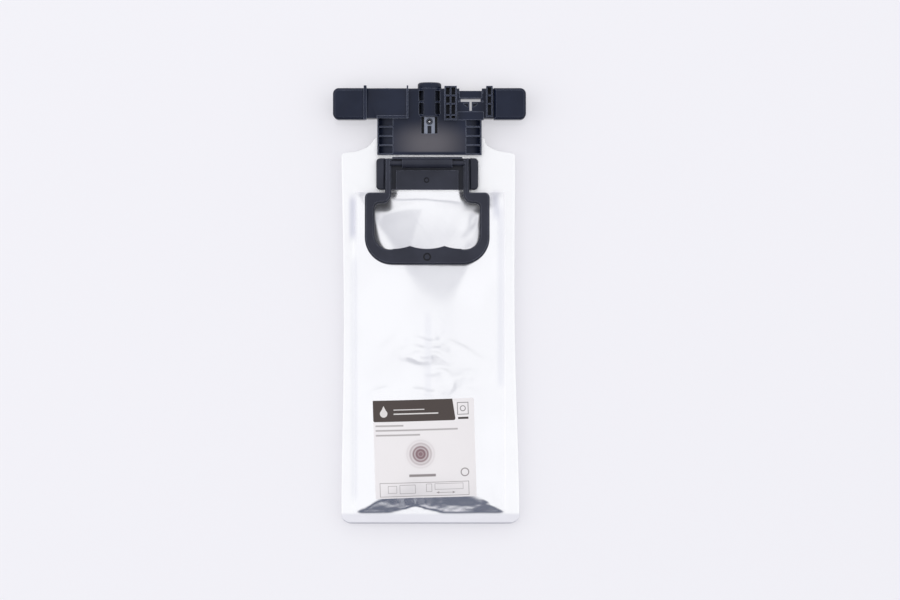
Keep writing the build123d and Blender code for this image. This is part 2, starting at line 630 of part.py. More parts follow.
def head_cover():
    """Upper shell of the head: wings, raised panel, outlet housing, ladders and neck cover."""
    deck = slab(rect(-wing_root, wing_root, head_back_y, front_y), SEAM_Z, DECK_Z)
    cover = front_rounded(deck)
    panel = slab(rect(-PANEL_TO, -PANEL_FROM, head_back_y, front_y), SEAM_Z, PANEL_Z)
    cover += front_rounded(panel)
    panel_lip = rect(-PANEL_TO + PANEL_LIP_END, -PANEL_FROM, head_back_y, head_back_y + PANEL_LIP)
    cover += slab(panel_lip, DECK_Z, PANEL_Z + PANEL_LIP_RISE)
    cover += wing_shells(WING_TOP, SEAM_Z)
    outer_rib = rect(-wing_root - RIB, -wing_root + RIB, wing_back_y, front_y + PANEL_RIB_PROUD)
    inner_rib = rect(-PANEL_FROM - RIB, -PANEL_FROM, head_back_y, front_y + PANEL_RIB_PROUD)
    cover += slab(outer_rib, SEAM_Z, HEAD_TOP) + slab(inner_rib, SEAM_Z, HEAD_TOP)
    housing = rod_y(COLLAR_OD / 2, tab_front_y, front_y, OUTLET_Z)
    cover += housing & slab(rect(-COLLAR_OD, COLLAR_OD, bag_end_y, tip_y), SEAM_Z, HEAD_TOP)
    lip_half = CHIP_SEAT_WIDTH / 2 + CHIP_LIP_SIDE
    lip_y = (head_back_y - CHIP_LIP_BACK, head_back_y + CHIP_LIP_FRONT)
    cover += slab(rect(CHIP_X - lip_half, CHIP_X + lip_half, *lip_y), SEAM_Z + WALL, CHIP_LIP_Z)

    plate = rect(-NECK_PLATE_WIDTH / 2, NECK_PLATE_WIDTH / 2, plate_end_y, head_back_y)
    cover += slab(plate, SIDE_UNDER_Z, DECK_Z)
    cover += slab(neck_walls(), SEAM_Z, DECK_Z)
    for x, width, columns, rows in (
        (LADDER_X, LADDER_WIDTH, 2, LADDER_ROWS),
        (END_LADDER_X, END_LADDER_WIDTH, 1, END_LADDER_ROWS),
    ):
        block, cells = rib_block(x, width, columns, rows)
        cover = cover + block - cells

    boat_half = TONGUE_WIDTH / 2 + BOAT_TAPER + NECK_GAP
    neck_room = rect(-boat_half, boat_half, plate_end_y, neck_front_y + NECK_GAP)
    cover -= slab(neck_room + stem_room(), SEAM_Z, cover_under_z)
    cover -= neck_cells()
    cover -= rod_y(TUBE_OD / 2 + FIT, tube_end_y - NECK_GAP, front_y, OUTLET_Z)
    cover -= tower_windows()
    cover -= panel_cavity(SEAM_Z, DECK_Z - WALL)
    window = rect(-TAB_WINDOW / 2, TAB_WINDOW / 2, tab_front_y - TAB_WINDOW_LENGTH, tab_front_y)
    cover -= slab(window, SEAM_Z, HEAD_TOP)
    cover = cover - seat_front() - chip_slope() - board_room()
    cover -= slab(chip_openings(), SEAM_Z, HEAD_TOP)
    cover -= slab(chip_smile(), DECK_Z - SMILE_DEPTH, HEAD_TOP)
    cover += chip_studs()

    boss = rod_y(SOCKET_R + SOCKET_WALL, front_y - SOCKET_DEPTH - WALL, front_y, SOCKET_Z, -SOCKET_X)
    cover += boss & slab(rect(-PANEL_TO, 0, head_back_y, front_y), SEAM_Z, PANEL_Z)
    return cover - rod_y(SOCKET_R, front_y - SOCKET_DEPTH, front_y, SOCKET_Z, -SOCKET_X)


def head_base():
    """Lower shell of the head."""
    deck = slab(rect(-wing_root, wing_root, head_back_y, front_y), 0, SEAM_Z)
    base = front_rounded(deck, at_top=False)
    base += wing_shells(WING_BOTTOM, SEAM_Z)
    for x, width in ((LADDER_X, LADDER_WIDTH), (END_LADDER_X, END_LADDER_WIDTH)):
        tip = rect(x - width / 2, x + width / 2, front_y - WALL, front_y + LADDER_PROUD)
        base += slab(tip, SEAM_Z / 2, SEAM_Z)
    plate = rect(-NECK_PLATE_WIDTH / 2, NECK_PLATE_WIDTH / 2, plate_end_y, head_back_y)
    base += slab(plate, 0, base_over_z)
    base += slab(neck_walls(), 0, SEAM_Z)

    core = offset(plate, -WALL)
    for x in (-NECK_PLATE_WIDTH / 6, NECK_PLATE_WIDTH / 6):
        core -= rect(x - RIB / 2, x + RIB / 2, plate_end_y, head_back_y)
    base -= slab(core, 0, base_over_z - WALL)

    base -= panel_cavity(WALL, SEAM_Z)
    base -= rod_y(TUBE_OD / 2 + FIT, tube_end_y - NECK_GAP, front_y, OUTLET_Z)
    base -= slab(stem_room(), base_over_z, SEAM_Z)
    half = CHIP_SEAT_WIDTH / 2
    well_front_y = chip_front_y - CHIP_SLOT_FROM + RUN_GAP
    well_back_y = well_front_y - CHIP_SLOT_WIDTH - CHIP_STEM_LENGTH - 2 * RUN_GAP
    well = rect(CHIP_X - half, CHIP_X + half, well_back_y, well_front_y)
    return base - seat_front() - board_room() - slab(well, 0, SEAM_Z)


def chip_board():
    half = BOARD_WIDTH / 2
    plan = rect(CHIP_X - half, CHIP_X + half, board_back_y, chip_front_y)
    return slab(plan, BOARD_BOTTOM_Z, BOARD_BOTTOM_Z + BOARD_HEIGHT)


def chip_contacts():
    """Nine gold pads in two rows on the front of the board."""
    face = Plane(
        (CHIP_X, chip_front_y, BOARD_BOTTOM_Z + BOARD_HEIGHT / 2), x_dir=(1, 0, 0), z_dir=(0, 1, 0)
    )
    pad = Rectangle(PAD_SIZE, PAD_HEIGHT)
    pads = Sketch()
    for row, count in ((-0.5, PAD_COUNT + 1), (0.5, PAD_COUNT)):
        pads += Pos(0, row * PAD_ROW_PITCH) * GridLocations(PAD_PITCH, 1, count, 1) * pad
    return extrude(face * pads, PAD_THICK)


def chip_package():
    middle = (0, board_back_y - PACKAGE_THICK / 2, BOARD_BOTTOM_Z + BOARD_HEIGHT / 2)
    package = Pos(CHIP_X, *middle[1:]) * Box(PACKAGE_SIZE, PACKAGE_THICK, PACKAGE_SIZE)
    return chamfer(package.edges().group_by(Axis.Y)[0], PACKAGE_EDGE)


def handle_base():
    """Plate with the hinge barrel, pinned through the bag's top weld to the spout's tongue."""
    plan = rect(-base_half, base_half, base_back_y, base_front_y)
    plan = fillet(plan.vertices(), BASE_CORNER_R)
    plate = slab(plan, handle_base_z, floor_top_z)
    lobe_inner = arm_outer + RUN_GAP
    lobes = plan - rect(-lobe_inner, lobe_inner, base_back_y, base_front_y)
    lobes = slab(lobes, handle_base_z - LOBE_FOOT, floor_top_z + LOBE_RISE)
    plate += chamfer(lobes.edges().group_by(Axis.Z)[-1], LOBE_EDGE)
    pad_half = arm_inner - PAD_TO_ARM
    pad = rect(-pad_half, pad_half, base_back_y, hinge_y - BARREL_R - BARREL_TO_PAD)
    plate += slab(pad, floor_top_z, floor_top_z + PAD_RISE)
    web = rect(-barrel_half, barrel_half, hinge_y - BARREL_R, base_front_y)
    plate += slab(web, floor_top_z, hinge_z)
    plate += rod_x(BARREL_R, barrel_half, hinge_y, hinge_z)
    rim_half = arm_inner - 2 * RUN_GAP
    rim = rect(-rim_half, rim_half, base_front_y - RIB / 2, base_front_y + RIB)
    plate += slab(rim, handle_base_z, hinge_z)
    plate -= rod_x(SHAFT_R + SHAFT_PLAY, barrel_half, hinge_y, hinge_z)
    mouth_half = SNAP_MOUTH / 2
    mouth = rect(-barrel_half, barrel_half, hinge_y - mouth_half, hinge_y + mouth_half)
    plate -= slab(mouth, handle_base_z, hinge_z)
    pegs = base_pegs(PEG_SIZE, handle_base_z - PEG_DEPTH, handle_base_z)
    return Pos(BASE_X, 0, 0) * plate + pegs


def handle_ring():
    """Plan of the handle in its own plane, with the hinge axis along y = 0."""
    half = HANDLE_WIDTH / 2
    loop = rect(-half, half, -HANDLE_REACH, -SHOULDER_AT)
    rows = loop.vertices().group_by(Axis.Y)
    loop = fillet(rows[0], LOOP_CORNER_R)
    loop = fillet(loop.vertices().group_by(Axis.Y)[-1], SMALL_CORNER_R)
    ring = loop + rect(-arm_outer, arm_outer, -SHOULDER_AT - LOOP_SHOULDER, HANDLE_END_R)

    open_top = -SHOULDER_AT - LOOP_SHOULDER
    open_half = half - LOOP_SIDE
    grip_y = -HANDLE_REACH + LOOP_GRIP
    opening = rect(-open_half, open_half, grip_y, open_top)
    opening = fillet(opening.vertices().group_by(Axis.Y)[0], OPENING_CORNER_R)
    opening = fillet(opening.vertices().group_by(Axis.Y)[-1], SMALL_CORNER_R)
    opening += rect(-arm_inner, arm_inner, grip_y + OPENING_CORNER_R, 2 * HANDLE_END_R)
    corners = [
        vertex
        for vertex in opening.vertices()
        if abs(vertex.Y - open_top) < RUN_GAP and abs(abs(vertex.X) - arm_inner) < RUN_GAP
    ]
    return ring - fillet(corners, SHOULDER_R)


def finger_peaks():
    """The points between the finger hollows of the grip."""
    grip_y = -HANDLE_REACH + LOOP_GRIP
    half = FINGER_PITCH / 2
    radius = (half ** 2 + FINGER_RISE ** 2) / (2 * FINGER_RISE)
    peaks = Sketch()
    for index in range(FINGER_COUNT - 1):
        x = (index - (FINGER_COUNT - 2) / 2) * FINGER_PITCH
        peak = rect(x - half, x + half, grip_y - FINGER_RISE, grip_y + FINGER_RISE)
        for side in (-half, half):
            peak -= Pos(x + side, grip_y + radius) * Circle(radius)
        peaks += peak
    return peaks


def rest_tilt():
    """Tilt in degrees at which the folded handle lies just clear of the bag."""
    half = HANDLE_WIDTH / 2
    grip = [
        (x * half / 8, HANDLE_REACH - step * LOOP_GRIP / 3)
        for x in range(-8, 9)
        for step in range(4)
    ]
    sides = [
        (side * (half - x * LOOP_SIDE / 2), SHOULDER_AT + step * (HANDLE_REACH - SHOULDER_AT) / 8)
        for side in (-1, 1)
        for x in range(3)
        for step in range(9)
    ]
    lift = HANDLE_THICK / 2 + REST_GAP - hinge_z
    return max(
        degrees(atan2(upper_film_z(BASE_X + x, hinge_y - along) + lift, along))
        for x, along in grip + sides
    )


def carry_handle():
    """Flat loop on two arms, joined at the hinge by a bar that turns in the base's barrel."""
    ring = handle_ring()
    low = -HANDLE_THICK / 2
    high = HANDLE_THICK / 2
    handle = slab(ring + finger_peaks(), low, low + LIP_THICK)
    handle += slab(offset(ring, -LIP) + finger_peaks(), low + LIP_THICK, high)
    rounded = rod_x(HANDLE_END_R, HANDLE_WIDTH, 0, 0)
    rounded += Pos(0, -HANDLE_REACH / 2, 0) * Box(2 * HANDLE_WIDTH, HANDLE_REACH, 2 * HANDLE_THICK)
    handle &= rounded
    handle += rod_x(SHAFT_R, arm_outer - ARM_WIDTH / 2, 0, 0)
    return Pos(BASE_X, hinge_y, hinge_z) * Rot(-rest_tilt(), 0, 0) * handle


PARTS = {
    "ink_bag": ink_bag,
    "bag_label": bag_label,
    "spout_body": spout_body,
    "plug_ball": plug_ball,
    "outlet_collar": outlet_collar,
    "outlet_seal": outlet_seal,
    "outlet_poppet": outlet_poppet,
    "outlet_spring": outlet_spring,
    "head_cover": head_cover,
    "head_base": head_base,
    "chip_board": chip_board,
    "chip_contacts": chip_contacts,
    "chip_package": chip_package,
    "handle_base": handle_base,
    "carry_handle": carry_handle,
}

if __name__ == "__main__":
    os.makedirs("parts", exist_ok=True)
    for name, make in PARTS.items():
        export_step(make(), f"parts/{name}.step")
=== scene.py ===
"""Looks of a large foil ink pack: pouch, paper label, connector head, spout and carry handle."""

from math import cos, exp, pi, radians, sin, sqrt

import bmesh
import bpy
from bpy.props import FloatProperty, FloatVectorProperty, IntProperty, PointerProperty
from mathutils import Matrix, Vector
from mathutils.bvhtree import BVHTree


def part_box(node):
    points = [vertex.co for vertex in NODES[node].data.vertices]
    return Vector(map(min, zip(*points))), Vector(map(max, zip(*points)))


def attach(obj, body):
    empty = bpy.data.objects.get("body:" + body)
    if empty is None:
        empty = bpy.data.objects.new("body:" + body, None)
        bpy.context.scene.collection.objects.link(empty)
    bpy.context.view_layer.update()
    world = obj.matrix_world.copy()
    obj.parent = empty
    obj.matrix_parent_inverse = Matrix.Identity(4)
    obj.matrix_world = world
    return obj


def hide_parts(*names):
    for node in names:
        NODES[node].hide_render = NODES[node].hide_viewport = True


bl_info = {
    "name": "Ink pack",
    "version": (1, 0, 0),
    "blender": (4, 5, 0),
    "location": "3D View > Sidebar > Ink pack",
    "description": "Builds the looks of a foil ink pack round its CAD frame",
    "category": "Object",
}

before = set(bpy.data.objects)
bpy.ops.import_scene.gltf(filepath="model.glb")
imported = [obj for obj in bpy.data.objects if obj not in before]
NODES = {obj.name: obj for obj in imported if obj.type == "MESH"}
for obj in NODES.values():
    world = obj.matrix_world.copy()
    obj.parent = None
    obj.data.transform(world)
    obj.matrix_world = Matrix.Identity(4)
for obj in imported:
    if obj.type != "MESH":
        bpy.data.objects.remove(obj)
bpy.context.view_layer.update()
MM = 0.001

# Places in millimetres, in the frame of the CAD part
BAG_LOW, BAG_HIGH = (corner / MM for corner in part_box("ink_bag"))
LABEL_LOW, LABEL_HIGH = (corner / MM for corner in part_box("bag_label"))
LABEL_MIDDLE = (LABEL_LOW + LABEL_HIGH) / 2
HANDLE_LOW, HANDLE_HIGH = (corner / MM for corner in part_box("carry_handle"))
BASE_LOW, BASE_HIGH = (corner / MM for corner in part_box("handle_base"))
COVER_LOW, _ = (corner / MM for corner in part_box("head_cover"))
BALL = sum(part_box("plug_ball"), Vector()) / 2 / MM

# The pouch's outline
BAG_END = BAG_LOW.y
NECK_FRONT = BAG_HIGH.y
BAG_HALF = 50.8
CORNER_R = 5.0
FLARE = 1.3  # how far each side spreads towards the bottom
WAIST = 1.35  # how far each side bows in halfway up
NECK_HALF = 28.3
NECK_SLOPE = 4.1  # how steeply the shoulders end in the neck
SHOULDER = NECK_FRONT - 10.7
SHOULDER_RUN = 17.2
SHOULDER_RISE = 8.6
SHOULDER_CORNER = 1.2

# Its welds, and the chamber inside them
SIDE_WELD = 7.0
BOTTOM_WELD = 6.4
TOP_WELD = 23.0
CHAMBER_HALF = BAG_HALF - SIDE_WELD
CHAMBER_END = BAG_END + BOTTOM_WELD
CHAMBER_TOP = SHOULDER - TOP_WELD
WELD_TOP = 7.4
WELD_BOTTOM = 6.6

# How far the ink lifts and lowers the films, and the runs over which they do so at the two ends
CROWN = BAG_HIGH.z - WELD_TOP
BELLY = 10.0
TOP_SLOPE = 70.0
BOTTOM_SLOPE = 26.0
ARC_BLEND = 1.6  # how far the creases between those arcs are eased

# The films over and under the spout's tongue
TONGUE_HALF = 16.5
TONGUE_END = BASE_LOW.y + 0.1
TONGUE_FILM = 9.0
TONGUE_DROP = 1.6
TONGUE_MARGIN = 0.5
TONGUE_SIDE_SLOPE = 0.29
TONGUE_END_SLOPE = 0.08

# Near the head there is little ink under the upper film, and it lies flat
FLAT_FROM = 40.0
FLAT_RUN = 20.0

# Kite-shaped dent below the grip, a pit with four flat sides, which the CAD solid has too
FOLD_MIDDLE = (8.0, CHAMBER_TOP - 38.0)
FOLD_DEPTH = 0.9
FOLD_BLEND = 0.5
FOLD_RIM = (
    (-11.0, CHAMBER_TOP - 38.0),
    (1.5, CHAMBER_TOP - 73.0),
    (27.0, CHAMBER_TOP - 38.0),
    (8.0, CHAMBER_TOP - 26.0),
)

# Peak that the inner edge of the bottom weld rises to
TUCK_X = -8.5
TUCK_HALF = 16.0
TUCK_RISE = 4.0
TUCK_SLOPE = 0.08

# Ridge down the handle's opening, with a long slope on its right: the heights between which it
# lies, its foot at the neck, how far it goes left for each millimetre down, and its height; then
# how much its right slope falls for each millimetre across, and how far that slope goes
RIDGE_LOW, RIDGE_HIGH = 22.0, 66.0
RIDGE_START = (-1.0, 62.0)
RIDGE_LEAN = 0.36
RIDGE_HEIGHT = 0.35
RIDGE_FALL = 0.06
RIDGE_RUN = 32.0

# Round dent in that slope: middle, radii and depth
DENT_PLACE = (24, 46, 4, 7)
DENT_DEPTH = 0.5

# Creases of the upper film: start, end, half width, height
CREASES = (
    ((-36, 48), (2, 60), 3.4, 0.6),
    ((30, 54), (21, 36), 2.5, 0.5),
    ((-34, -34), (-12, -13), 3.6, -0.5),
    ((8, -19), (36, -38), 3.6, -0.5),
)

# Columns of the pouch's grid: 1 is the inner edge of a side weld, and this is its outer edge
OUTER_COLUMN = 1.16

# Setup of the cloth simulation that fills the pouch
CLOTH_FRAMES = 20
CLOTH = {
    "quality": 6,
    "mass": 0.04,
    "tension_stiffness": 40,
    "compression_stiffness": 40,
    "shear_stiffness": 20,
    "bending_stiffness": 0.3,
    "use_pressure": True,
    "vertex_group_mass": "held",
}

# How far the filling is held back under the label and near the head
LABEL_CALM = 0.7
LABEL_FADE = 5.0
HEAD_CALM = 0.88
HEAD_CALM_FROM = -40.0
HEAD_CALM_RUN = 56.0

# How far the film may stand over the CAD solid: under the handle, and more away from it
UNDER_HANDLE = 0.25
BESIDE_HANDLE = 1.4
ARM_BREADTH = 7.0
GRIP_BREADTH = 10.0
LOOP_FADE = 9.0
HANDLE_FADE = 10.0

# Streaks of painted shade, most of them beside the welds: x, lower end, upper end, strength
FOIL_SHADE_STREAKS = (
    (-44.8, 34, 66, 0.8),
    (38.8, 46, 68, 0.55),
    (41.6, -52, 60, 0.3),
    (-44.0, -118, 30, 0.25),
    (-0.9, -58, -2, 0.16),
)
STREAK_FADE = 8.0  # at the two ends
STREAK_CORE = 0.4  # half the width at full strength
STREAK_HALF = 3.4  # half the whole width
WELD_BLUR = 0.4  # half the width over which a weld's look begins
EMBOSS_PITCH = 1.1

# The label's print, in millimetres from its left side and its foot. A height called "below" is
# measured from its top.
HEADER_BELOW = 12.5
HEADER_WIDTH = 46.4
HEADER_SLANT = 0.13
HEADER_CORNER = 1.4
DROP_X = 6.2
RULES = ((15.3, 17.5), (18.0, 49.0), (20.8, 27.0))  # below, right end
RULE_LEFT = 1.2
RULE_HEIGHT = 0.9
MOTIF_MIDDLE = (27.0, 25.6)
MOTIF_R = 10.2
RING_PITCH = 1.9
STRIP = (2.6, 54.6, 0.9, 9.2)  # left, right, lower and upper side, as in the boxes inside it
STRIP_BOXES = (
    (7.4, 12.6, 3.0, 7.4),
    (14.2, 23.4, 2.6, 7.8),
    (29.6, 33.0, 3.4, 8.2),
    (34.6, 51.2, 4.6, 8.2),
)
ARROW_Y = 2.85
ARROW_TIPS = ((35.4, 1), (46.6, -1))  # x, and the way from the tip to the shaft
ARROW_HEAD = 1.7

# The world round the pack, by direction: a room, a dim leaning patch in it and a dark front
ROOM_TONE = (1.03, 1.035, 1.05)
PATCH_TONE = (0.52, 0.525, 0.58)
PATCH_MIDDLE = (0.14, 0.35)
PATCH_SIZE = (0.15, 0.3)
PATCH_LEAN = 0.5
FRONT_TONE = (0.07, 0.085, 0.14)

# Lamps: name, place, size, share of the lamp setting, colour
LAMPS = (
    ("left_strip", (-1.0, 0.1, 0.75), (0.3, 1.4), 0.7, (1, 0.99, 0.98)),
    ("right_strip", (1.1, 0.1, 0.8), (0.25, 1.4), 0.3, (0.97, 0.98, 1)),
    ("back_strip", (-0.1, 1.1, 0.9), (1.4, 0.25), 0.5, (1, 1, 1)),
    ("top_light", (-0.12, 0.62, 2.3), (0.12, 0.12), 1.9, (1, 1, 1)),
)
SEEN_RAYS = ("Camera", "Glossy", "Transmission")  # rays that see the floor's own glow
CAMERA_AIM = (11.95, 1.95, 10.0)  # in millimetres


def linear(red, green, blue):
    """A display colour, 0 to 255, as linear light."""

    def convert(value):
        value /= 255
        return value / 12.92 if value <= 0.04045 else ((value + 0.055) / 1.055) ** 2.4

    return convert(red), convert(green), convert(blue)


# Tones that aren't settings: of the foil's welds, painted shade on its streaks and its bottom
# weld, and painted highlights on the mouldings' edges, the neck's middle and the lock block's
# faces
WELD_TINT = (0.985, 0.985, 1.0)
STREAK_SHADE_TINT = (0.66, 0.665, 0.76)
BOTTOM_WELD_SHADE_TINT = (0.82, 0.815, 0.865)
EDGE_HIGHLIGHT_TONE = linear(150, 156, 176)
NECK_HIGHLIGHT_TONE = linear(104, 101, 106)
LOCK_HIGHLIGHT_TONE = linear(136, 142, 157)


def colour(name, description, default):
    """A setting that holds a colour."""
    return FloatVectorProperty(
        name=name, description=description, subtype="COLOR", size=3, min=0, max=1, default=default
    )


class PouchSettings(bpy.types.PropertyGroup):
    foil: colour("Foil", "Colour of the bright foil", (0.93, 0.93, 0.955))
    roughness: FloatProperty(
        name="Roughness", description="Roughness of the foil", default=0.2, min=0, max=1
    )
    pressure: FloatProperty(
        name="Filling pressure", description="Pressure that fills the pouch out", default=4.0
    )
    spare: FloatProperty(
        name="Spare film", description="Share of spare film that buckles", default=0.005
    )
    freedom: FloatProperty(
        name="Freedom",
        description="How far the filling moves the film",
        default=1.0 * MM,
        unit="LENGTH",
        subtype="DISTANCE",
    )


class LabelSettings(bpy.types.PropertyGroup):
    paper: colour("Paper", "Colour of the label's paper", linear(235, 231, 232))
    block: colour("Header", "Colour of the printed header", linear(72, 63, 60))
    print_grey: colour("Rules", "Colour of the printed lines", linear(120, 112, 112))
    motif: colour("Motif", "Colour of the printed rings", linear(118, 84, 92))
    width: FloatProperty(
        name="Width",
        description="Width of the label",
        default=58.8 * MM,
        unit="LENGTH",
        subtype="DISTANCE",
    )
    height: FloatProperty(
        name="Height",
        description="Height of the label",
        default=57.2 * MM,
        unit="LENGTH",
        subtype="DISTANCE",
    )
    turn: FloatProperty(
        name="Turn",
        description="How far the label was stuck on askew",
        default=radians(1.8),
        unit="ROTATION",
        subtype="ANGLE",
    )
    thickness: FloatProperty(
        name="Thickness",
        description="Thickness of the paper",
        default=0.12 * MM,
        unit="LENGTH",
        subtype="DISTANCE",
    )


class MouldingSettings(bpy.types.PropertyGroup):
    head: colour("Head", "Colour of the connector head", linear(18, 25, 44))
    handle: colour("Handle", "Colour of the handle and its base", linear(40, 42, 53))
    edge: FloatProperty(
        name="Edge rounding",
        description="Rounding along the mouldings' sharp edges",
        default=0.3 * MM,
        unit="LENGTH",
        subtype="DISTANCE",
    )
    edge_steps: IntProperty(
        name="Edge steps", description="Faces across a rounded edge", default=2, min=1, max=4
    )


class StageSettings(bpy.types.PropertyGroup):
    floor: colour("Floor", "Colour of the floor", linear(241, 240, 245))
    glow: FloatProperty(
        name="Glow",
        description="Share of the floor's brightness that no shadow takes",
        default=0.5,
    )
    lamp: FloatProperty(
        name="Lamp", description="Power of the main lamp", default=2.0, unit="POWER"
    )
    distance: FloatProperty(
        name="Camera height",
        description="Height of the camera above the pack",
        default=2.0,
        unit="LENGTH",
        subtype="DISTANCE",
    )
    view_width: FloatProperty(
        name="View width",
        description="Width that the picture covers",
        default=0.5247,
        unit="LENGTH",
        subtype="DISTANCE",
    )


class Wire:
    """A node's output, for use in Python expressions."""

    def __init__(self, net, socket):
        self.net = net
        self.socket = socket

    def __add__(self, other):
        return self.net.math("ADD", self, other)

    __radd__ = __add__

    def __sub__(self, other):
        return self.net.math("SUBTRACT", self, other)

    def __rsub__(self, other):
        return self.net.math("SUBTRACT", other, self)

    def __mul__(self, other):
        return self.net.math("MULTIPLY", self, other)

    __rmul__ = __mul__

    def __truediv__(self, other):
        return self.net.math("DIVIDE", self, other)

    def __pow__(self, other):
        return self.net.math("POWER", self, other)

    def __neg__(self):
        return self * -1

    def __abs__(self):
        return self.net.math("ABSOLUTE", self)

    def __lt__(self, other):
        return self.net.math("LESS_THAN", self, other)


class Net:
    """A node tree that is written as expressions."""

    def __init__(self, tree):
        self.tree = tree
        tree.nodes.clear()

    def node(self, kind, settings=None, sockets=None, output=0):
        """One node: its settings first, then the values or links of its sockets."""
        node = self.tree.nodes.new(kind)
        for name, value in (settings or {}).items():
            setattr(node, name, value)
        for name, value in (sockets or {}).items():
            if isinstance(value, Wire):
                self.tree.links.new(value.socket, node.inputs[name])
            else:
                node.inputs[name].default_value = value
        return Wire(self, node.outputs[output]) if node.outputs else None

    def math(self, operation, *values):
        """A sum or function of values and wires."""
        return self.node("ShaderNodeMath", {"operation": operation}, dict(enumerate(values)))

    def smaller(self, a, b):
        return self.math("MINIMUM", a, b)

    def larger(self, a, b):
        return self.math("MAXIMUM", a, b)

    def step(self, value, low, high):
        """0 below the low limit and 1 above the high one, with a smooth rise between."""
        return self.node(
            "ShaderNodeMapRange",
            {"interpolation_type": "SMOOTHSTEP"},
            {"Value": value, "From Min": low, "From Max": high},
        )

    def between(self, value, low, high, soft=0.05):
        """1 between two limits, with edges a little soft."""
        rising = self.step(value, low - soft, low + soft)
        return rising * (1 - self.step(value, high - soft, high + soft))

    def mix(self, share, a, b):
        """Two colours mixed."""
        values = {
            "Factor": share,
            6: a if isinstance(a, Wire) else (*a, 1),
            7: b if isinstance(b, Wire) else (*b, 1),
        }
        return self.node("ShaderNodeMix", {"data_type": "RGBA"}, values, output=2)

    def place(self):
        """The Object coordinates in millimetres, whole and as x, y and z."""
        whole = self.node("ShaderNodeTexCoord", output=3)
        settings = {"operation": "SCALE"}
        whole = self.node("ShaderNodeVectorMath", settings, {0: whole, "Scale": 1 / MM})
        parts = [self.node("ShaderNodeSeparateXYZ", None, {0: whole}, output=i) for i in range(3)]
        return whole, *parts

    def noise(self, place, size, detail=2.0, roughness=0.5):
        """Noise whose lumps are about this many millimetres across."""
        sockets = {"Vector": place, "Scale": 1 / size, "Detail": detail, "Roughness": roughness}
        return self.node("ShaderNodeTexNoise", None, sockets)

    def edges(self, width):
        """1 along edges and corners, fading to 0 at this many millimetres from them."""
        rounded = self.node("ShaderNodeBevel", {"samples": 6}, {"Radius": width * MM})
        straight = self.node("ShaderNodeNewGeometry", output=1)
        product = {"operation": "DOT_PRODUCT"}
        likeness = self.node("ShaderNodeVectorMath", product, {0: rounded, 1: straight}, output=1)
        return 1 - self.step(likeness, 0.8, 0.99)

    def bump(self, height, depth, strength=1.0, normal=None):
        """A bump whose height of 1 stands this many millimetres proud."""
        sockets = {"Height": height, "Distance": depth * MM, "Strength": strength}
        if normal is not None:
            sockets["Normal"] = normal
        return self.node("ShaderNodeBump", None, sockets)

    def finish(self, **sockets):
        """The surface shader and the output."""
        named = {name.replace("_", " "): value for name, value in sockets.items()}
        shader = self.node("ShaderNodeBsdfPrincipled", None, named)
        self.node("ShaderNodeOutputMaterial", None, {"Surface": shader})


def new_material(name):
    """A material whose node tree is empty, and the net to fill it with."""
    material = bpy.data.materials.new(name)
    material.use_nodes = True
    return material, Net(material.node_tree)


def foil_material(settings):
    """Aluminium foil under a clear film, an embossed weld round the edge, and painted shade."""
    material, net = new_material("foil_film")
    place, x, y, _ = net.place()
    broad = net.noise(place, 24.0, detail=0)
    ripple = net.noise(place, 7.0, detail=1)
    inside = net.step(abs(x), CHAMBER_HALF + WELD_BLUR, CHAMBER_HALF - WELD_BLUR)
    inside = inside * net.step(y, CHAMBER_END - WELD_BLUR, CHAMBER_END + WELD_BLUR)
    inside = inside * net.step(y, CHAMBER_TOP + WELD_BLUR, CHAMBER_TOP - WELD_BLUR)
    grid_x = net.math("SINE", (x + y) * (2 * pi / EMBOSS_PITCH))
    grid_y = net.math("SINE", (x - y) * (2 * pi / EMBOSS_PITCH))
    emboss = (grid_x * grid_y) * (1 - inside)
    dull = net.step(broad, 0.35, 0.7)
    # Painted shade: soft streaks of darker, bluer tint
    streak_shade = 0
    for side, low, high, strength in FOIL_SHADE_STREAKS:
        along = net.step(y, low, low + STREAK_FADE) * (1 - net.step(y, high - STREAK_FADE, high))
        across = 1 - net.step(abs(x - side), STREAK_CORE, STREAK_HALF)
        streak_shade = streak_shade + across * along * strength
    normal = net.bump(emboss, 0.02, strength=0.4)
    normal = net.bump(ripple, 0.1, strength=0.5, normal=normal)
    tint = net.mix(dull * 0.6, settings.foil, [channel * 0.965 for channel in settings.foil])
    tint = net.mix(1 - inside, tint, WELD_TINT)
    tint = net.mix(streak_shade, tint, STREAK_SHADE_TINT)
    # Painted shade: the bottom weld is tinted darker and bluer than the other welds
    tint = net.mix(net.step(y, CHAMBER_END + 0.5, CHAMBER_END - 1.5), tint, BOTTOM_WELD_SHADE_TINT)
    net.finish(
        Base_Color=tint,
        Metallic=0.92,
        Roughness=settings.roughness + dull * 0.04 + ripple * 0.03 + (1 - inside) * 0.12,
        Normal=normal,
    )
    return material


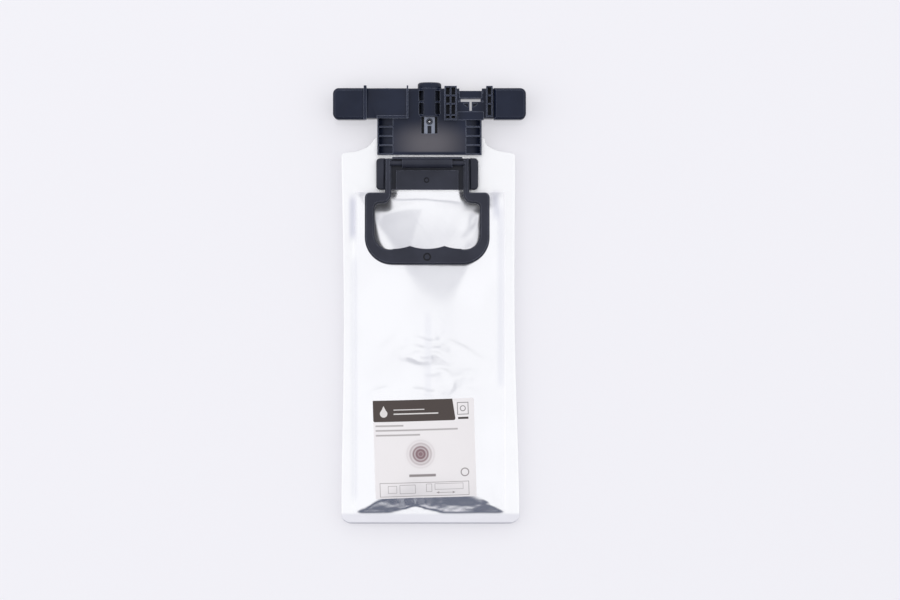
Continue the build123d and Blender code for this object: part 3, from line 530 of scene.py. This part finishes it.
def plastic_material(name, base, roughness=0.28, marks=(), sheen=None, sheen_colour=NECK_HIGHLIGHT_TONE):
    """Moulded plastic: a fine spark-eroded grain, painted edge highlights and round gate marks."""
    material, net = new_material(name)
    place, x, y, z = net.place()
    cloud = net.noise(place, 14.0, detail=3)
    grit = net.noise(place, 0.35, detail=2)
    scuff = net.noise(place, 3.0, detail=4, roughness=0.7)
    bright = [min(1.0, channel * 1.6 + 0.004) for channel in base]
    tone = net.mix(net.step(cloud, 0.3, 0.75) * 0.5, base, bright)
    tone = net.mix(net.step(scuff, 0.62, 0.8) * 0.25, tone, bright)
    # The sheen is painted light: a highlight patch, or on the spout a highlight with a shaded ring
    if sheen:
        tone = net.mix(sheen(net, x, y, z), tone, sheen_colour)
    # Painted highlight: edges and corners lighter
    tone = net.mix(net.edges(0.5) * (0.3 + cloud * 0.5), tone, EDGE_HIGHLIGHT_TONE)
    normal = net.bump(grit, 0.015, strength=0.4)
    if marks:
        ring = 0
        for mark_x, mark_y, radius in marks:
            distance = ((x - mark_x) ** 2 + (y - mark_y) ** 2) ** 0.5 / radius
            ring = ring + net.between(distance, 0.62, 0.95, soft=0.08)
        tone = net.mix(ring * 0.9, tone, [channel * 0.1 for channel in base])
        normal = net.bump(1 - ring, 0.25, normal=normal)
    net.finish(
        Base_Color=tone,
        Roughness=roughness + cloud * 0.1 + scuff * 0.06,
        Normal=normal,
        Specular_IOR_Level=0.25,
    )
    return material


def painted_neck_highlight(net, x, y, z):
    """Painted highlight on the middle of the neck cover, where the light catches it."""
    middle = COVER_LOW.y + 6.5
    away = ((abs(x) / 27) ** 2.5 + (abs(y - middle) / 15) ** 2.5) ** 0.4
    upper_face = net.step(z, 12.45, 12.55) * (1 - net.step(z, 12.7, 12.9))
    behind_edge = net.step(y, COVER_LOW.y + 1.2, COVER_LOW.y + 2.2)
    return (1 - net.step(away, 0.1, 1.05)) * upper_face * behind_edge * 0.72


def spout_painted_light(net, x, y, z):
    """Painted highlight on the lock block's faces, a painted shade ring round the ball; dark
    elsewhere.
    """
    block = net.step(z, 12.0, 12.1) * (1 - net.step(z, 12.3, 12.5))
    block = block * (1 - net.step(abs(x), 3.2, 3.4))
    around = ((x - BALL.x) ** 2 + (y - BALL.y) ** 2) ** 0.5
    # Painted shade: a dark ring round the ball
    ball_ring_shade = net.between(around, 1.0, 2.0, 0.15)
    return block * 0.9 * (1 - ball_ring_shade * 0.85)


def simple_material(name, base, roughness, metallic=0.0, depth=0.01):
    """Small parts: a base colour with cloudy variation and a fine surface grain."""
    material, net = new_material(name)
    place, *_ = net.place()
    cloud = net.noise(place, 2.5, detail=3)
    grit = net.noise(place, 0.25, detail=2)
    darker = [channel * 0.7 for channel in base]
    lighter = [min(1.0, channel * 1.12) for channel in base]
    net.finish(
        Base_Color=net.mix(cloud, darker, lighter),
        Metallic=metallic,
        Roughness=roughness + cloud * 0.1,
        Normal=net.bump(grit, depth),
    )
    return material


def paper_material(settings):
    """The label's paper, with its print as fields of colour and plain shapes."""
    material, net = new_material("label_paper")
    place, x, y, _ = net.place()
    high = settings.height / MM
    turn_cos, turn_sin = cos(settings.turn), sin(settings.turn)
    from_x, from_y = x - LABEL_MIDDLE.x, y - LABEL_MIDDLE.y
    u = from_x * turn_cos + from_y * turn_sin + settings.width / MM / 2
    v = from_y * turn_cos - from_x * turn_sin + high / 2
    fibre = net.noise(place, 0.6, detail=3)
    cloud = net.noise(place, 18.0, detail=2)
    paper = net.mix(cloud * 0.5, settings.paper, [c * 0.94 for c in settings.paper])

    def box(x0, x1, y0, y1, soft=0.08):
        return net.between(u, x0, x1, soft) * net.between(v, y0, y1, soft)

    def outline(x0, x1, y0, y1, line=0.35):
        return box(x0, x1, y0, y1) * (1 - box(x0 + line, x1 - line, y0 + line, y1 - line))

    def disc(middle_x, middle_y, radius, soft=0.1):
        distance = ((u - middle_x) ** 2 + (v - middle_y) ** 2) ** 0.5
        return 1 - net.step(distance, radius - soft, radius + soft)

    edge = HEADER_WIDTH + (high - v) * HEADER_SLANT
    side = net.smaller(u + 0.2, edge - u)
    foot = v - high + HEADER_BELOW
    corner = net.larger(HEADER_CORNER - side, 0) ** 2 + net.larger(HEADER_CORNER - foot, 0) ** 2
    block = 1 - net.step(corner ** 0.5, HEADER_CORNER - 0.1, HEADER_CORNER + 0.1)
    block = block * net.step(side, -0.1, 0.1) * net.step(foot, -0.1, 0.1)
    tip_slope = abs(u - DROP_X) < (high - 3.2 - v) * 0.5
    drop_tip = net.between(v, high - 6.6, high - 3.2, 0.1) * tip_slope
    drop = net.larger(disc(DROP_X, high - 7.7, 2.2), drop_tip)
    long_bar = box(12.0, 38.0, high - 8.4, high - 7.7)
    short_bar = box(12.0, 30.0, high - 5.9, high - 5.4)
    light = net.larger(drop, net.larger(long_bar, short_bar))

    rules = 0
    for below, right in RULES:
        rule_y = high - below
        rules = rules + box(RULE_LEFT, right, rule_y, rule_y + RULE_HEIGHT, 0.3)
    distance = ((u - MOTIF_MIDDLE[0]) ** 2 + (v - MOTIF_MIDDLE[1]) ** 2) ** 0.5
    rings = net.math("SINE", distance * (2 * pi / RING_PITCH)) * 0.5 + 0.5
    fade = 1 - net.step(distance, 1.0, MOTIF_R)
    motif = (net.step(rings, 0.15, 0.85) * 0.55 + 0.35) * fade + (fade ** 3) * 0.4
    caption = box(20.0, 35.5, 12.4, 13.9, 0.3)
    frame_mark = outline(49.0, 55.6, high - 9.4, high - 2.2, 0.4)
    mark_ring = disc(52.3, high - 5.8, 1.7) * (1 - disc(52.3, high - 5.8, 1.25))
    frame_mark = net.larger(frame_mark, mark_ring)
    bar = box(49.4, 55.4, high - 12.0, high - 10.8)
    seal = disc(52.4, 14.4, 2.5) * (1 - disc(52.4, 14.4, 1.9))
    strip = outline(*STRIP)
    for corners in STRIP_BOXES:
        strip = net.larger(strip, outline(*corners, 0.25))
    strip = net.larger(strip, box(36.6, 45.4, ARROW_Y - 0.15, ARROW_Y + 0.15))
    for tip_x, way in ARROW_TIPS:
        along = (u - tip_x) * way
        head = net.between(along, 0, ARROW_HEAD, 0.05) * (abs(v - ARROW_Y) < along * 0.42)
        strip = net.larger(strip, head)
    grey = net.larger(net.larger(rules * 0.75, caption), net.larger(seal, strip * 0.85))
    grey = net.smaller(grey, 1)

    ink = net.mix(net.smaller(motif, 0.9), paper, settings.motif)
    ink = net.mix(grey * 0.85, ink, settings.print_grey)
    ink = net.mix(net.larger(frame_mark * 0.8, bar), ink, linear(62, 56, 55))
    ink = net.mix(block, ink, settings.block)
    ink = net.mix(block * light * 0.92, ink, linear(226, 222, 220))
    net.finish(
        Base_Color=ink,
        Roughness=0.55 + fibre * 0.12 - block * 0.12,
        Normal=net.bump(fibre, 0.015, strength=0.5),
        Specular_IOR_Level=0.35,
    )
    return material


def lean(y):
    """How far the pouch hangs off the middle: to the right at its end, to the left higher up."""
    return (0.55 - 1.3 * (y - BAG_END) / (SHOULDER - BAG_END)) * ease((NECK_FRONT - y) / 6)


def ease(value):
    """Smooth step from 0 to 1."""
    value = min(max(value, 0.0), 1.0)
    return value * value * (3 - 2 * value)


def spread(stops):
    """Places from one stop to the next, with this many steps up to each."""
    places = [stops[0][0]]
    for (start, _), (end, steps) in zip(stops, stops[1:]):
        places += [start + (end - start) * step / steps for step in range(1, steps + 1)]
    return places


def half_width(y):
    """Half the pouch's width at a height along it."""
    if y < BAG_END + CORNER_R:
        drop = CORNER_R - (y - BAG_END)
        return BAG_HALF + FLARE - CORNER_R + sqrt(max(CORNER_R ** 2 - drop ** 2, 0))
    low = BAG_END + CORNER_R
    if y < SHOULDER:
        t = (y - low) / (SHOULDER - low)
        bow = 4 * t * (1 - t)
        corner = max(y - SHOULDER + SHOULDER_CORNER, 0)
        return BAG_HALF + FLARE * (1 - ease(t)) - WAIST * bow * bow - corner
    if y < SHOULDER + SHOULDER_RISE:
        rise = (SHOULDER + SHOULDER_RISE - y) / SHOULDER_RISE
        return BAG_HALF - SHOULDER_CORNER - SHOULDER_RUN * sqrt(max(1 - rise ** 2, 0))
    beyond = y - SHOULDER - SHOULDER_RISE
    return max(NECK_HALF, BAG_HALF - SHOULDER_CORNER - SHOULDER_RUN - beyond * NECK_SLOPE)


def arc_height(run, rise, along):
    """Height on an arc that climbs a rise over a run and ends level."""
    radius = (run ** 2 + rise ** 2) / (2 * rise)
    short = max(run - max(along, 0), 0)
    return sqrt(radius ** 2 - short ** 2) - radius + rise


def soft_least(values, blend):
    """The least of some heights, with the creases between them eased over a blend."""
    least = values[0]
    for value in values[1:]:
        share = max(blend - abs(least - value), 0) / blend
        least = min(least, value) - share * share * blend / 4
    return least


def bump_at(x, y, middle_x, middle_y, radius_x, radius_y):
    """A round-topped rise of height 1."""
    return exp(-((x - middle_x) / radius_x) ** 2 - ((y - middle_y) / radius_y) ** 2)


def crease_at(x, y, start, end, width):
    """A crease of height 1 along a line, fading at its two ends."""
    line = Vector(end) - Vector(start)
    offset = Vector((x, y)) - Vector(start)
    along = min(max(offset.dot(line) / line.length_squared, 0), 1)
    away = (offset - line * along).length / width
    return exp(-away * away) * sin_arch(along)


def sin_arch(share):
    """An arch of height 1 over a share from 0 to 1."""
    return 4 * share * (1 - share)


def folds(x, y):
    """Dents and creases of the upper film, in millimetres."""
    near_head = ease((y - RIDGE_LOW) / 12) * ease((RIDGE_HIGH - y) / 4)
    off = x - RIDGE_START[0] + (RIDGE_START[1] - y) * RIDGE_LEAN
    if off > 0:
        ridge = RIDGE_HEIGHT - RIDGE_FALL * min(off, RIDGE_RUN)
    else:
        ridge = RIDGE_HEIGHT * ease((x + 40) / 22)
    height = near_head * ridge - DENT_DEPTH * bump_at(x, y, *DENT_PLACE)
    for start, end, width, rise in CREASES:
        height += rise * crease_at(x, y, start, end, width)
    return height


def crumples(x, rise):
    """Small folds just above the bottom weld, in millimetres: a slow swell and sharp pleats."""
    swell = sin(x / 11 + rise / 7 + 0.6)
    pleats = abs(sin((x + 4 * sin(x / 9 + 1)) / 5.5))
    height = 0.4 * swell - 0.55 * pleats
    return height * ease(rise / 3) * ease((22 - rise) / 14) * ease((42 - abs(x)) / 6)


def arcs(x, y, foot=CHAMBER_END):
    """Heights of the arcs that the ink lifts the film to: across, at the top and at the bottom."""
    return (
        arc_height(CHAMBER_HALF, CROWN, CHAMBER_HALF - abs(x)),
        arc_height(TOP_SLOPE, CROWN, CHAMBER_TOP - y),
        arc_height(BOTTOM_SLOPE, CROWN, y - foot),
    )


def plane_height(corners, x, y):
    """Height of the plane through three corners, over a place."""
    first, second, third = (Vector(corner) for corner in corners)
    normal = (second - first).cross(third - first)
    return first.z - (normal.x * (x - first.x) + normal.y * (y - first.y)) / normal.z


def fold_pit():
    """The three corners of each flat side of the kite-shaped dent."""
    rim = [(x, y, min(arcs(x, y))) for x, y in FOLD_RIM]
    bottom = (*FOLD_MIDDLE, min(arcs(*FOLD_MIDDLE)) - FOLD_DEPTH)
    return [(corner, other, bottom) for corner, other in zip(rim, rim[1:] + rim[:1])]


PIT = fold_pit()


def cad_film(x, y):
    """Height of the CAD solid's upper film."""
    pit = max(plane_height(side, x, y) for side in PIT)
    return WELD_TOP + max(min(*arcs(x, y), pit), 0)


def upper_film(x, y):
    """Height of the visible upper film."""
    foot = CHAMBER_END + TUCK_RISE * max(1 - abs(x - TUCK_X) / TUCK_HALF, 0)
    fill = soft_least(arcs(x, y, foot), ARC_BLEND)
    pit = -soft_least([-plane_height(side, x, y) for side in PIT], FOLD_BLEND)
    fill = max(soft_least((fill, pit), FOLD_BLEND), 0)
    fill *= 1 - ease((y - FLAT_FROM) / FLAT_RUN) * exp(-fill)
    tuck = TUCK_SLOPE * min(max(y - CHAMBER_END, 0), foot - CHAMBER_END)
    fill = max(fill, tuck) + crumples(x, y - foot)
    height = max(WELD_TOP + fill + folds(x, y) * ease(fill / 3), WELD_TOP)
    across = (abs(x) - TONGUE_HALF - TONGUE_MARGIN) * TONGUE_SIDE_SLOPE
    below = (TONGUE_END - TONGUE_MARGIN - y) * TONGUE_END_SLOPE
    return max(height, TONGUE_FILM - max(across, below, 0))


def lower_film(x, y):
    """Height of the visible lower film."""
    across = arc_height(CHAMBER_HALF, BELLY, CHAMBER_HALF - abs(x))
    top = arc_height(TOP_SLOPE, BELLY, CHAMBER_TOP - y)
    bottom = arc_height(BOTTOM_SLOPE, BELLY, y - CHAMBER_END)
    drop = max(min(across, top, bottom), 0)
    beside = max(abs(x) - TONGUE_HALF - TONGUE_MARGIN, TONGUE_END - TONGUE_MARGIN - y, 0)
    tongue = WELD_BOTTOM + (beside * TONGUE_SIDE_SLOPE - TONGUE_DROP)
    return min(max(WELD_BOTTOM - drop, 0), tongue)


def mesh_from(work, name):
    """A mesh of what has been built in a bmesh, which is then let go."""
    mesh = bpy.data.meshes.new(name)
    work.to_mesh(mesh)
    work.free()
    return mesh


def add_piece(name, mesh, material, body="pack"):
    """A new visible object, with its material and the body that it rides."""
    piece = bpy.data.objects.new(name, mesh)
    bpy.context.scene.collection.objects.link(piece)
    mesh.materials.clear()
    mesh.materials.append(material)
    if body:
        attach(piece, body)
    return piece


def pouch_shell():
    """Both films as one closed shell, on a grid that follows the outline and the welds."""
    rows = spread(
        [
            (BAG_END, 0),
            (CHAMBER_END, 4),
            (CHAMBER_END + 16, 14),
            (CHAMBER_TOP, 104),
            (SHOULDER - SHOULDER_CORNER, 13),
            (SHOULDER, 1),
            (SHOULDER + 1.2, 3),
            (SHOULDER + SHOULDER_RISE, 6),
            (NECK_FRONT, 3),
        ]
    )
    columns = spread([(-OUTER_COLUMN, 0), (-1, 5), (1, 58), (OUTER_COLUMN, 5)])
    work = bmesh.new()
    bmesh.ops.create_grid(work, x_segments=len(columns) - 1, y_segments=len(rows) - 1, size=1)
    for vertex in work.verts:
        across = columns[round((vertex.co.x + 1) / 2 * (len(columns) - 1))]
        y = rows[round((vertex.co.y + 1) / 2 * (len(rows) - 1))]
        half = half_width(y)
        chamber = min(CHAMBER_HALF, half * 0.86)
        over = max(abs(across) - 1, 0) / (OUTER_COLUMN - 1)
        x = (min(abs(across), 1) * chamber + over * (half - chamber)) * (1 if across > 0 else -1)
        vertex.co = Vector((x, y, lower_film(x, y))) * MM
    top = bmesh.ops.extrude_face_region(work, geom=list(work.faces))
    for vertex in top["geom"]:
        if isinstance(vertex, bmesh.types.BMVert):
            vertex.co.z = upper_film(vertex.co.x / MM, vertex.co.y / MM) * MM
    for vertex in work.verts:
        vertex.co.x += lean(vertex.co.y / MM) * MM
    bmesh.ops.recalc_face_normals(work, faces=work.faces)
    return mesh_from(work, "foil_pouch")


def in_loop(x, y):
    """1 in the middle of the handle's opening, fading to 0 at the handle."""
    sides = min(x - HANDLE_LOW.x, HANDLE_HIGH.x - x) - ARM_BREADTH
    return ease(min(sides, y - HANDLE_LOW.y - GRIP_BREADTH, BASE_LOW.y - y) / LOOP_FADE)


def by_handle(x, y):
    """1 under the handle, fading to 0 some way outside it and in its opening."""
    sides = min(x - HANDLE_LOW.x, HANDLE_HIGH.x - x) + HANDLE_FADE
    outside = ease(min(sides, y - HANDLE_LOW.y + HANDLE_FADE) / HANDLE_FADE)
    return outside * (1 - in_loop(x, y))


def loose(x, y):
    """How freely the film moves: 0 on the welds, and little under the label and near the head."""
    free = ease((CHAMBER_HALF - abs(x)) / 5) * ease((y - CHAMBER_END) / 4)
    free *= ease((CHAMBER_TOP - 2 - y) / 6)
    left, right = x - LABEL_LOW.x + LABEL_FADE, LABEL_HIGH.x + LABEL_FADE - x
    low, high = y - LABEL_LOW.y + LABEL_FADE, LABEL_HIGH.y + LABEL_FADE - y
    under_label = ease(left / LABEL_FADE) * ease(right / LABEL_FADE)
    under_label *= ease(low / LABEL_FADE) * ease(high / LABEL_FADE)
    near_head = ease((y - HEAD_CALM_FROM) / HEAD_CALM_RUN)
    return free * (1 - LABEL_CALM * under_label) * (1 - HEAD_CALM * near_head)


def fill_pouch(piece, settings):
    """Fill the pouch by cloth simulation, so that its spare film buckles as foil does."""
    mesh = piece.data
    rest = [vertex.co.copy() for vertex in mesh.vertices]
    held = piece.vertex_groups.new(name="held")
    for index, place in enumerate(rest):
        x, y, z = place / MM
        free = loose(x, y) if z > WELD_TOP - 0.01 else 0
        held.add([index], 1 - min(free, 1), "REPLACE")
    cloth = piece.modifiers.new("filling", "CLOTH")
    for name, value in CLOTH.items():
        setattr(cloth.settings, name, value)
    cloth.settings.uniform_pressure_force = settings.pressure
    cloth.settings.effector_weights.gravity = 0
    cloth.settings.shrink_min = -settings.spare
    cloth.point_cache.frame_start = 1
    cloth.point_cache.frame_end = CLOTH_FRAMES
    scene = bpy.context.scene
    for number in range(1, CLOTH_FRAMES + 1):
        scene.frame_set(number)
    shaped = piece.evaluated_get(bpy.context.evaluated_depsgraph_get())
    moved = [vertex.co.copy() for vertex in shaped.data.vertices]
    piece.modifiers.remove(cloth)
    piece.vertex_groups.remove(held)
    for vertex, old, new in zip(mesh.vertices, rest, moved):
        x, y, z = old / MM
        if z < WELD_TOP - 0.01:
            continue
        shift = new - old
        limit = settings.freedom * min(loose(x, y), 1)
        if shift.length > limit:
            shift *= limit / shift.length
        vertex.co = old + shift
    scene.frame_set(1)


def rest_under(piece):
    """Keep the film below the handle, and let it rise a little beside it and in its opening."""
    for vertex in piece.data.vertices:
        x, y, z = vertex.co / MM
        if by_handle(x, y) > 0.01 and y < CHAMBER_TOP - 4.5 and z > WELD_TOP:
            ceiling = cad_film(x, y) + UNDER_HANDLE + BESIDE_HANDLE * (1 - by_handle(x, y))
            vertex.co.z = min(z, ceiling) * MM


def build_pouch(context):
    """The foil pouch, filled, in place of the CAD bag."""
    settings = context.scene.ink_pouch
    piece = add_piece("foil_pouch", pouch_shell(), foil_material(settings), body=None)
    fill_pouch(piece, settings)
    rest_under(piece)
    piece.data.shade_smooth()
    finer = piece.modifiers.new("finer", "SUBSURF")
    finer.levels = 1
    finer.render_levels = 1
    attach(piece, "pack")
    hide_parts("ink_bag")


def build_label(context):
    """The paper label, laid on the pouch from above and smoothed."""
    settings = context.scene.ink_label
    pouch = bpy.data.objects["foil_pouch"]
    context.view_layer.update()
    tree = BVHTree.FromObject(pouch, context.evaluated_depsgraph_get())
    above = (LABEL_MIDDLE.x * MM, LABEL_MIDDLE.y * MM, 60 * MM)
    work = bmesh.new()
    bmesh.ops.create_grid(work, x_segments=56, y_segments=52, size=1)
    size = (settings.width / 2, settings.height / 2, 0)
    bmesh.ops.scale(work, verts=work.verts, vec=size)
    turn = Matrix.Rotation(settings.turn, 3, "Z")
    bmesh.ops.rotate(work, verts=work.verts, matrix=turn)
    bmesh.ops.translate(work, verts=work.verts, vec=above)
    for vertex in work.verts:
        hit = tree.ray_cast(vertex.co, Vector((0, 0, -1)))
        vertex.co = hit[0] + Vector((0, 0, 0.1 * MM))
    for _ in range(3):
        bmesh.ops.smooth_vert(work, verts=work.verts, factor=0.5, use_axis_z=True)
    top = bmesh.ops.extrude_face_region(work, geom=list(work.faces))
    for vertex in top["geom"]:
        if isinstance(vertex, bmesh.types.BMVert):
            vertex.co.z += settings.thickness
    bmesh.ops.recalc_face_normals(work, faces=work.faces)
    mesh = mesh_from(work, "paper_label")
    mesh.shade_smooth()
    mesh.set_sharp_from_angle(angle=radians(40))
    piece = add_piece("paper_label", mesh, paper_material(settings))
    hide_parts("bag_label")


def softened(node, name, material, settings, body="pack"):
    """A copy of a CAD node with its sharp edges slightly rounded, as a mould leaves them."""
    work = bmesh.new()
    work.from_mesh(NODES[node].data)
    bmesh.ops.remove_doubles(work, verts=work.verts, dist=0.001 * MM)
    bmesh.ops.dissolve_limit(work, angle_limit=radians(0.4), verts=work.verts, edges=work.edges)
    mesh = mesh_from(work, name)
    mesh.shade_smooth()
    mesh.set_sharp_from_angle(angle=radians(30))
    piece = add_piece(name, mesh, material, body=body)
    edges = piece.modifiers.new("edges", "BEVEL")
    edges.width = settings.edge
    edges.segments = settings.edge_steps
    edges.limit_method = "ANGLE"
    edges.angle_limit = radians(32)
    edges.harden_normals = True
    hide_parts(node)
    return piece


def dress(node, material):
    """Give a CAD node that stays as it is its material."""
    mesh = NODES[node].data
    mesh.materials.clear()
    mesh.materials.append(material)


def build_head(context):
    """The connector head's two shells and the nose of the outlet."""
    settings = context.scene.ink_moulding
    black = plastic_material("black_plastic", settings.head, sheen=painted_neck_highlight)
    softened("head_cover", "connector_cover", black, settings)
    softened("head_base", "connector_base", black, settings)
    softened("outlet_collar", "outlet_nose", black, settings)


def build_handle(context):
    """The hinge plate and the loop, with their gate marks."""
    settings = context.scene.ink_moulding
    middle_x = (BASE_LOW.x + BASE_HIGH.x) / 2
    marks = ((middle_x, HANDLE_LOW.y + 4.6, 2.4), (middle_x - 0.4, BASE_LOW.y + 5.6, 1.6))
    grey = plastic_material("handle_plastic", settings.handle, roughness=0.3, marks=marks)
    softened("handle_base", "hinge_plate", grey, settings)
    softened("carry_handle", "carry_loop", grey, settings, body="handle")


def build_spout(context):
    """The spout, its valve and the chip as they are, and the filling ball as a true ball."""
    dark = linear(30, 33, 42)
    plastic = plastic_material("spout_plastic", dark, sheen=spout_painted_light, sheen_colour=LOCK_HIGHLIGHT_TONE)
    dress("spout_body", plastic)
    dress("outlet_seal", simple_material("seal_rubber", linear(38, 38, 40), 0.6))
    dress("outlet_poppet", simple_material("valve_plastic", linear(214, 214, 208), 0.4))
    steel = simple_material("spring_steel", (0.72, 0.72, 0.74), 0.22, metallic=1.0, depth=0.002)
    dress("outlet_spring", steel)
    dress("chip_board", simple_material("board_green", linear(30, 84, 56), 0.45))
    gold = simple_material("contact_gold", (0.83, 0.62, 0.28), 0.25, metallic=1.0, depth=0.002)
    dress("chip_contacts", gold)
    dress("chip_package", simple_material("chip_resin", linear(28, 28, 30), 0.5))
    low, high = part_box("plug_ball")
    work = bmesh.new()
    bmesh.ops.create_uvsphere(work, u_segments=32, v_segments=20, radius=(high.x - low.x) / 2)
    bmesh.ops.translate(work, verts=work.verts, vec=(low + high) / 2)
    mesh = mesh_from(work, "filling_ball")
    mesh.shade_smooth()
    piece = add_piece("filling_ball", mesh, steel)
    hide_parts("plug_ball")


def add_lamp(name, place, size, power, tint):
    """A lamp that faces the pack. Glossy surfaces don't mirror it: they mirror the world."""
    data = bpy.data.lights.new(name, "AREA")
    data.shape = "RECTANGLE"
    data.size, data.size_y = size
    data.energy = power
    data.color = tint
    lamp = bpy.data.objects.new(name, data)
    bpy.context.scene.collection.objects.link(lamp)
    lamp.location = place
    lamp.rotation_euler = Vector(place).to_track_quat("Z", "Y").to_euler()
    lamp.visible_glossy = False


def light_world():
    """A white room, with a dim patch high up at the back, and dark and blue low in front."""
    world = bpy.data.worlds.new("studio")
    bpy.context.scene.world = world
    world.use_nodes = True
    net = Net(world.node_tree)
    direction = net.node("ShaderNodeTexCoord", output=0)
    x, y = (net.node("ShaderNodeSeparateXYZ", None, {0: direction}, output=i) for i in range(2))
    from_x = (x - PATCH_MIDDLE[0] + y * PATCH_LEAN) / PATCH_SIZE[0]
    from_y = (y - PATCH_MIDDLE[1]) / PATCH_SIZE[1]
    patch = net.step((from_x * from_x + from_y * from_y) ** 0.5, 0.4, 1.2)
    tone = net.mix(patch, PATCH_TONE, ROOM_TONE)
    low = -y - abs(x) * 0.4
    front = net.step(low, 0.2, 0.75) * (1 - net.step(low, 0.88, 0.995) * 0.35)
    tone = net.mix(front, tone, FRONT_TONE)
    light = net.node("ShaderNodeBackground", None, {"Color": tone, "Strength": 1.0})
    net.node("ShaderNodeOutputWorld", None, {"Surface": light})


def build_stage(context):
    """The floor, the room, the lamps and the camera."""
    settings = context.scene.ink_stage
    material, net = new_material("studio_floor")
    place, *_ = net.place()
    cloud = net.noise(place, 240.0, detail=2)
    tone = net.mix(cloud * 0.5, settings.floor, [c * 0.975 for c in settings.floor])
    sockets = {"Base Color": tone, "Roughness": 0.75 + cloud * 0.1, "Specular IOR Level": 0.2}
    lit = net.node("ShaderNodeBsdfPrincipled", None, sockets)
    glow = net.node("ShaderNodeEmission", None, {"Color": tone})
    seen = [net.node("ShaderNodeLightPath", output=f"Is {kind} Ray") for kind in SEEN_RAYS]
    share = net.larger(net.larger(seen[0], seen[1]), seen[2]) * settings.glow
    shader = net.node("ShaderNodeMixShader", None, {0: share, 1: lit, 2: glow})
    net.node("ShaderNodeOutputMaterial", None, {"Surface": shader})
    work = bmesh.new()
    bmesh.ops.create_grid(work, x_segments=8, y_segments=8, size=4)
    floor = add_piece("floor", mesh_from(work, "floor"), material, body=None)
    light_world()
    for name, at, size, share, tint in LAMPS:
        add_lamp(name, at, size, settings.lamp * share, tint)

    centre = Vector(CAMERA_AIM) * MM
    data = bpy.data.cameras.new("camera")
    data.sensor_width = 36
    data.lens = data.sensor_width * settings.distance / settings.view_width
    data.clip_end = 20
    camera = bpy.data.objects.new("camera", data)
    context.scene.collection.objects.link(camera)
    camera.location = centre + Vector((0, 0, settings.distance))
    context.scene.camera = camera
    context.scene.view_settings.view_transform = "Standard"


class INKPACK_OT_pouch(bpy.types.Operator):
    """Builds and fills the foil pouch"""

    bl_idname = "inkpack.pouch"
    bl_label = "Foil pouch"

    def execute(self, context):
        build_pouch(context)
        return {"FINISHED"}


class INKPACK_OT_label(bpy.types.Operator):
    """Lays the paper label on the pouch"""

    bl_idname = "inkpack.label"
    bl_label = "Paper label"

    def execute(self, context):
        build_label(context)
        return {"FINISHED"}


class INKPACK_OT_head(bpy.types.Operator):
    """Finishes the connector head's mouldings"""

    bl_idname = "inkpack.head"
    bl_label = "Connector head"

    def execute(self, context):
        build_head(context)
        return {"FINISHED"}


class INKPACK_OT_handle(bpy.types.Operator):
    """Finishes the carry handle and its base"""

    bl_idname = "inkpack.handle"
    bl_label = "Carry handle"

    def execute(self, context):
        build_handle(context)
        return {"FINISHED"}


class INKPACK_OT_spout(bpy.types.Operator):
    """Finishes the spout, its valve and the chip"""

    bl_idname = "inkpack.spout"
    bl_label = "Spout and chip"

    def execute(self, context):
        build_spout(context)
        return {"FINISHED"}


class INKPACK_OT_stage(bpy.types.Operator):
    """Adds the floor, the lamps and the camera"""

    bl_idname = "inkpack.stage"
    bl_label = "Stage"

    def execute(self, context):
        build_stage(context)
        return {"FINISHED"}


class INKPACK_PT_panel(bpy.types.Panel):
    """Lists the pieces and their settings"""

    bl_idname = "INKPACK_PT_panel"
    bl_label = "Ink pack"
    bl_space_type = "VIEW_3D"
    bl_region_type = "UI"
    bl_category = "Ink pack"

    def draw(self, context):
        for group, operators in PANEL_ROWS:
            box = self.layout.box()
            settings = getattr(context.scene, group)
            for name in settings.__annotations__:
                box.prop(settings, name)
            for operator in operators:
                box.operator(operator)


PANEL_ROWS = (
    ("ink_pouch", ("inkpack.pouch",)),
    ("ink_label", ("inkpack.label",)),
    ("ink_moulding", ("inkpack.head", "inkpack.handle", "inkpack.spout")),
    ("ink_stage", ("inkpack.stage",)),
)
SETTINGS = {
    "ink_pouch": PouchSettings,
    "ink_label": LabelSettings,
    "ink_moulding": MouldingSettings,
    "ink_stage": StageSettings,
}
CLASSES = (
    *SETTINGS.values(),
    INKPACK_OT_pouch,
    INKPACK_OT_label,
    INKPACK_OT_head,
    INKPACK_OT_handle,
    INKPACK_OT_spout,
    INKPACK_OT_stage,
    INKPACK_PT_panel,
)


def register():
    for item in CLASSES:
        bpy.utils.register_class(item)
    for name, group in SETTINGS.items():
        setattr(bpy.types.Scene, name, PointerProperty(type=group))


def unregister():
    for name in SETTINGS:
        delattr(bpy.types.Scene, name)
    for item in reversed(CLASSES):
        bpy.utils.unregister_class(item)


def main():
    register()
    bpy.ops.inkpack.pouch()
    bpy.ops.inkpack.label()
    bpy.ops.inkpack.head()
    bpy.ops.inkpack.handle()
    bpy.ops.inkpack.spout()
    bpy.ops.inkpack.stage()


if __name__ == "__main__":
    main()
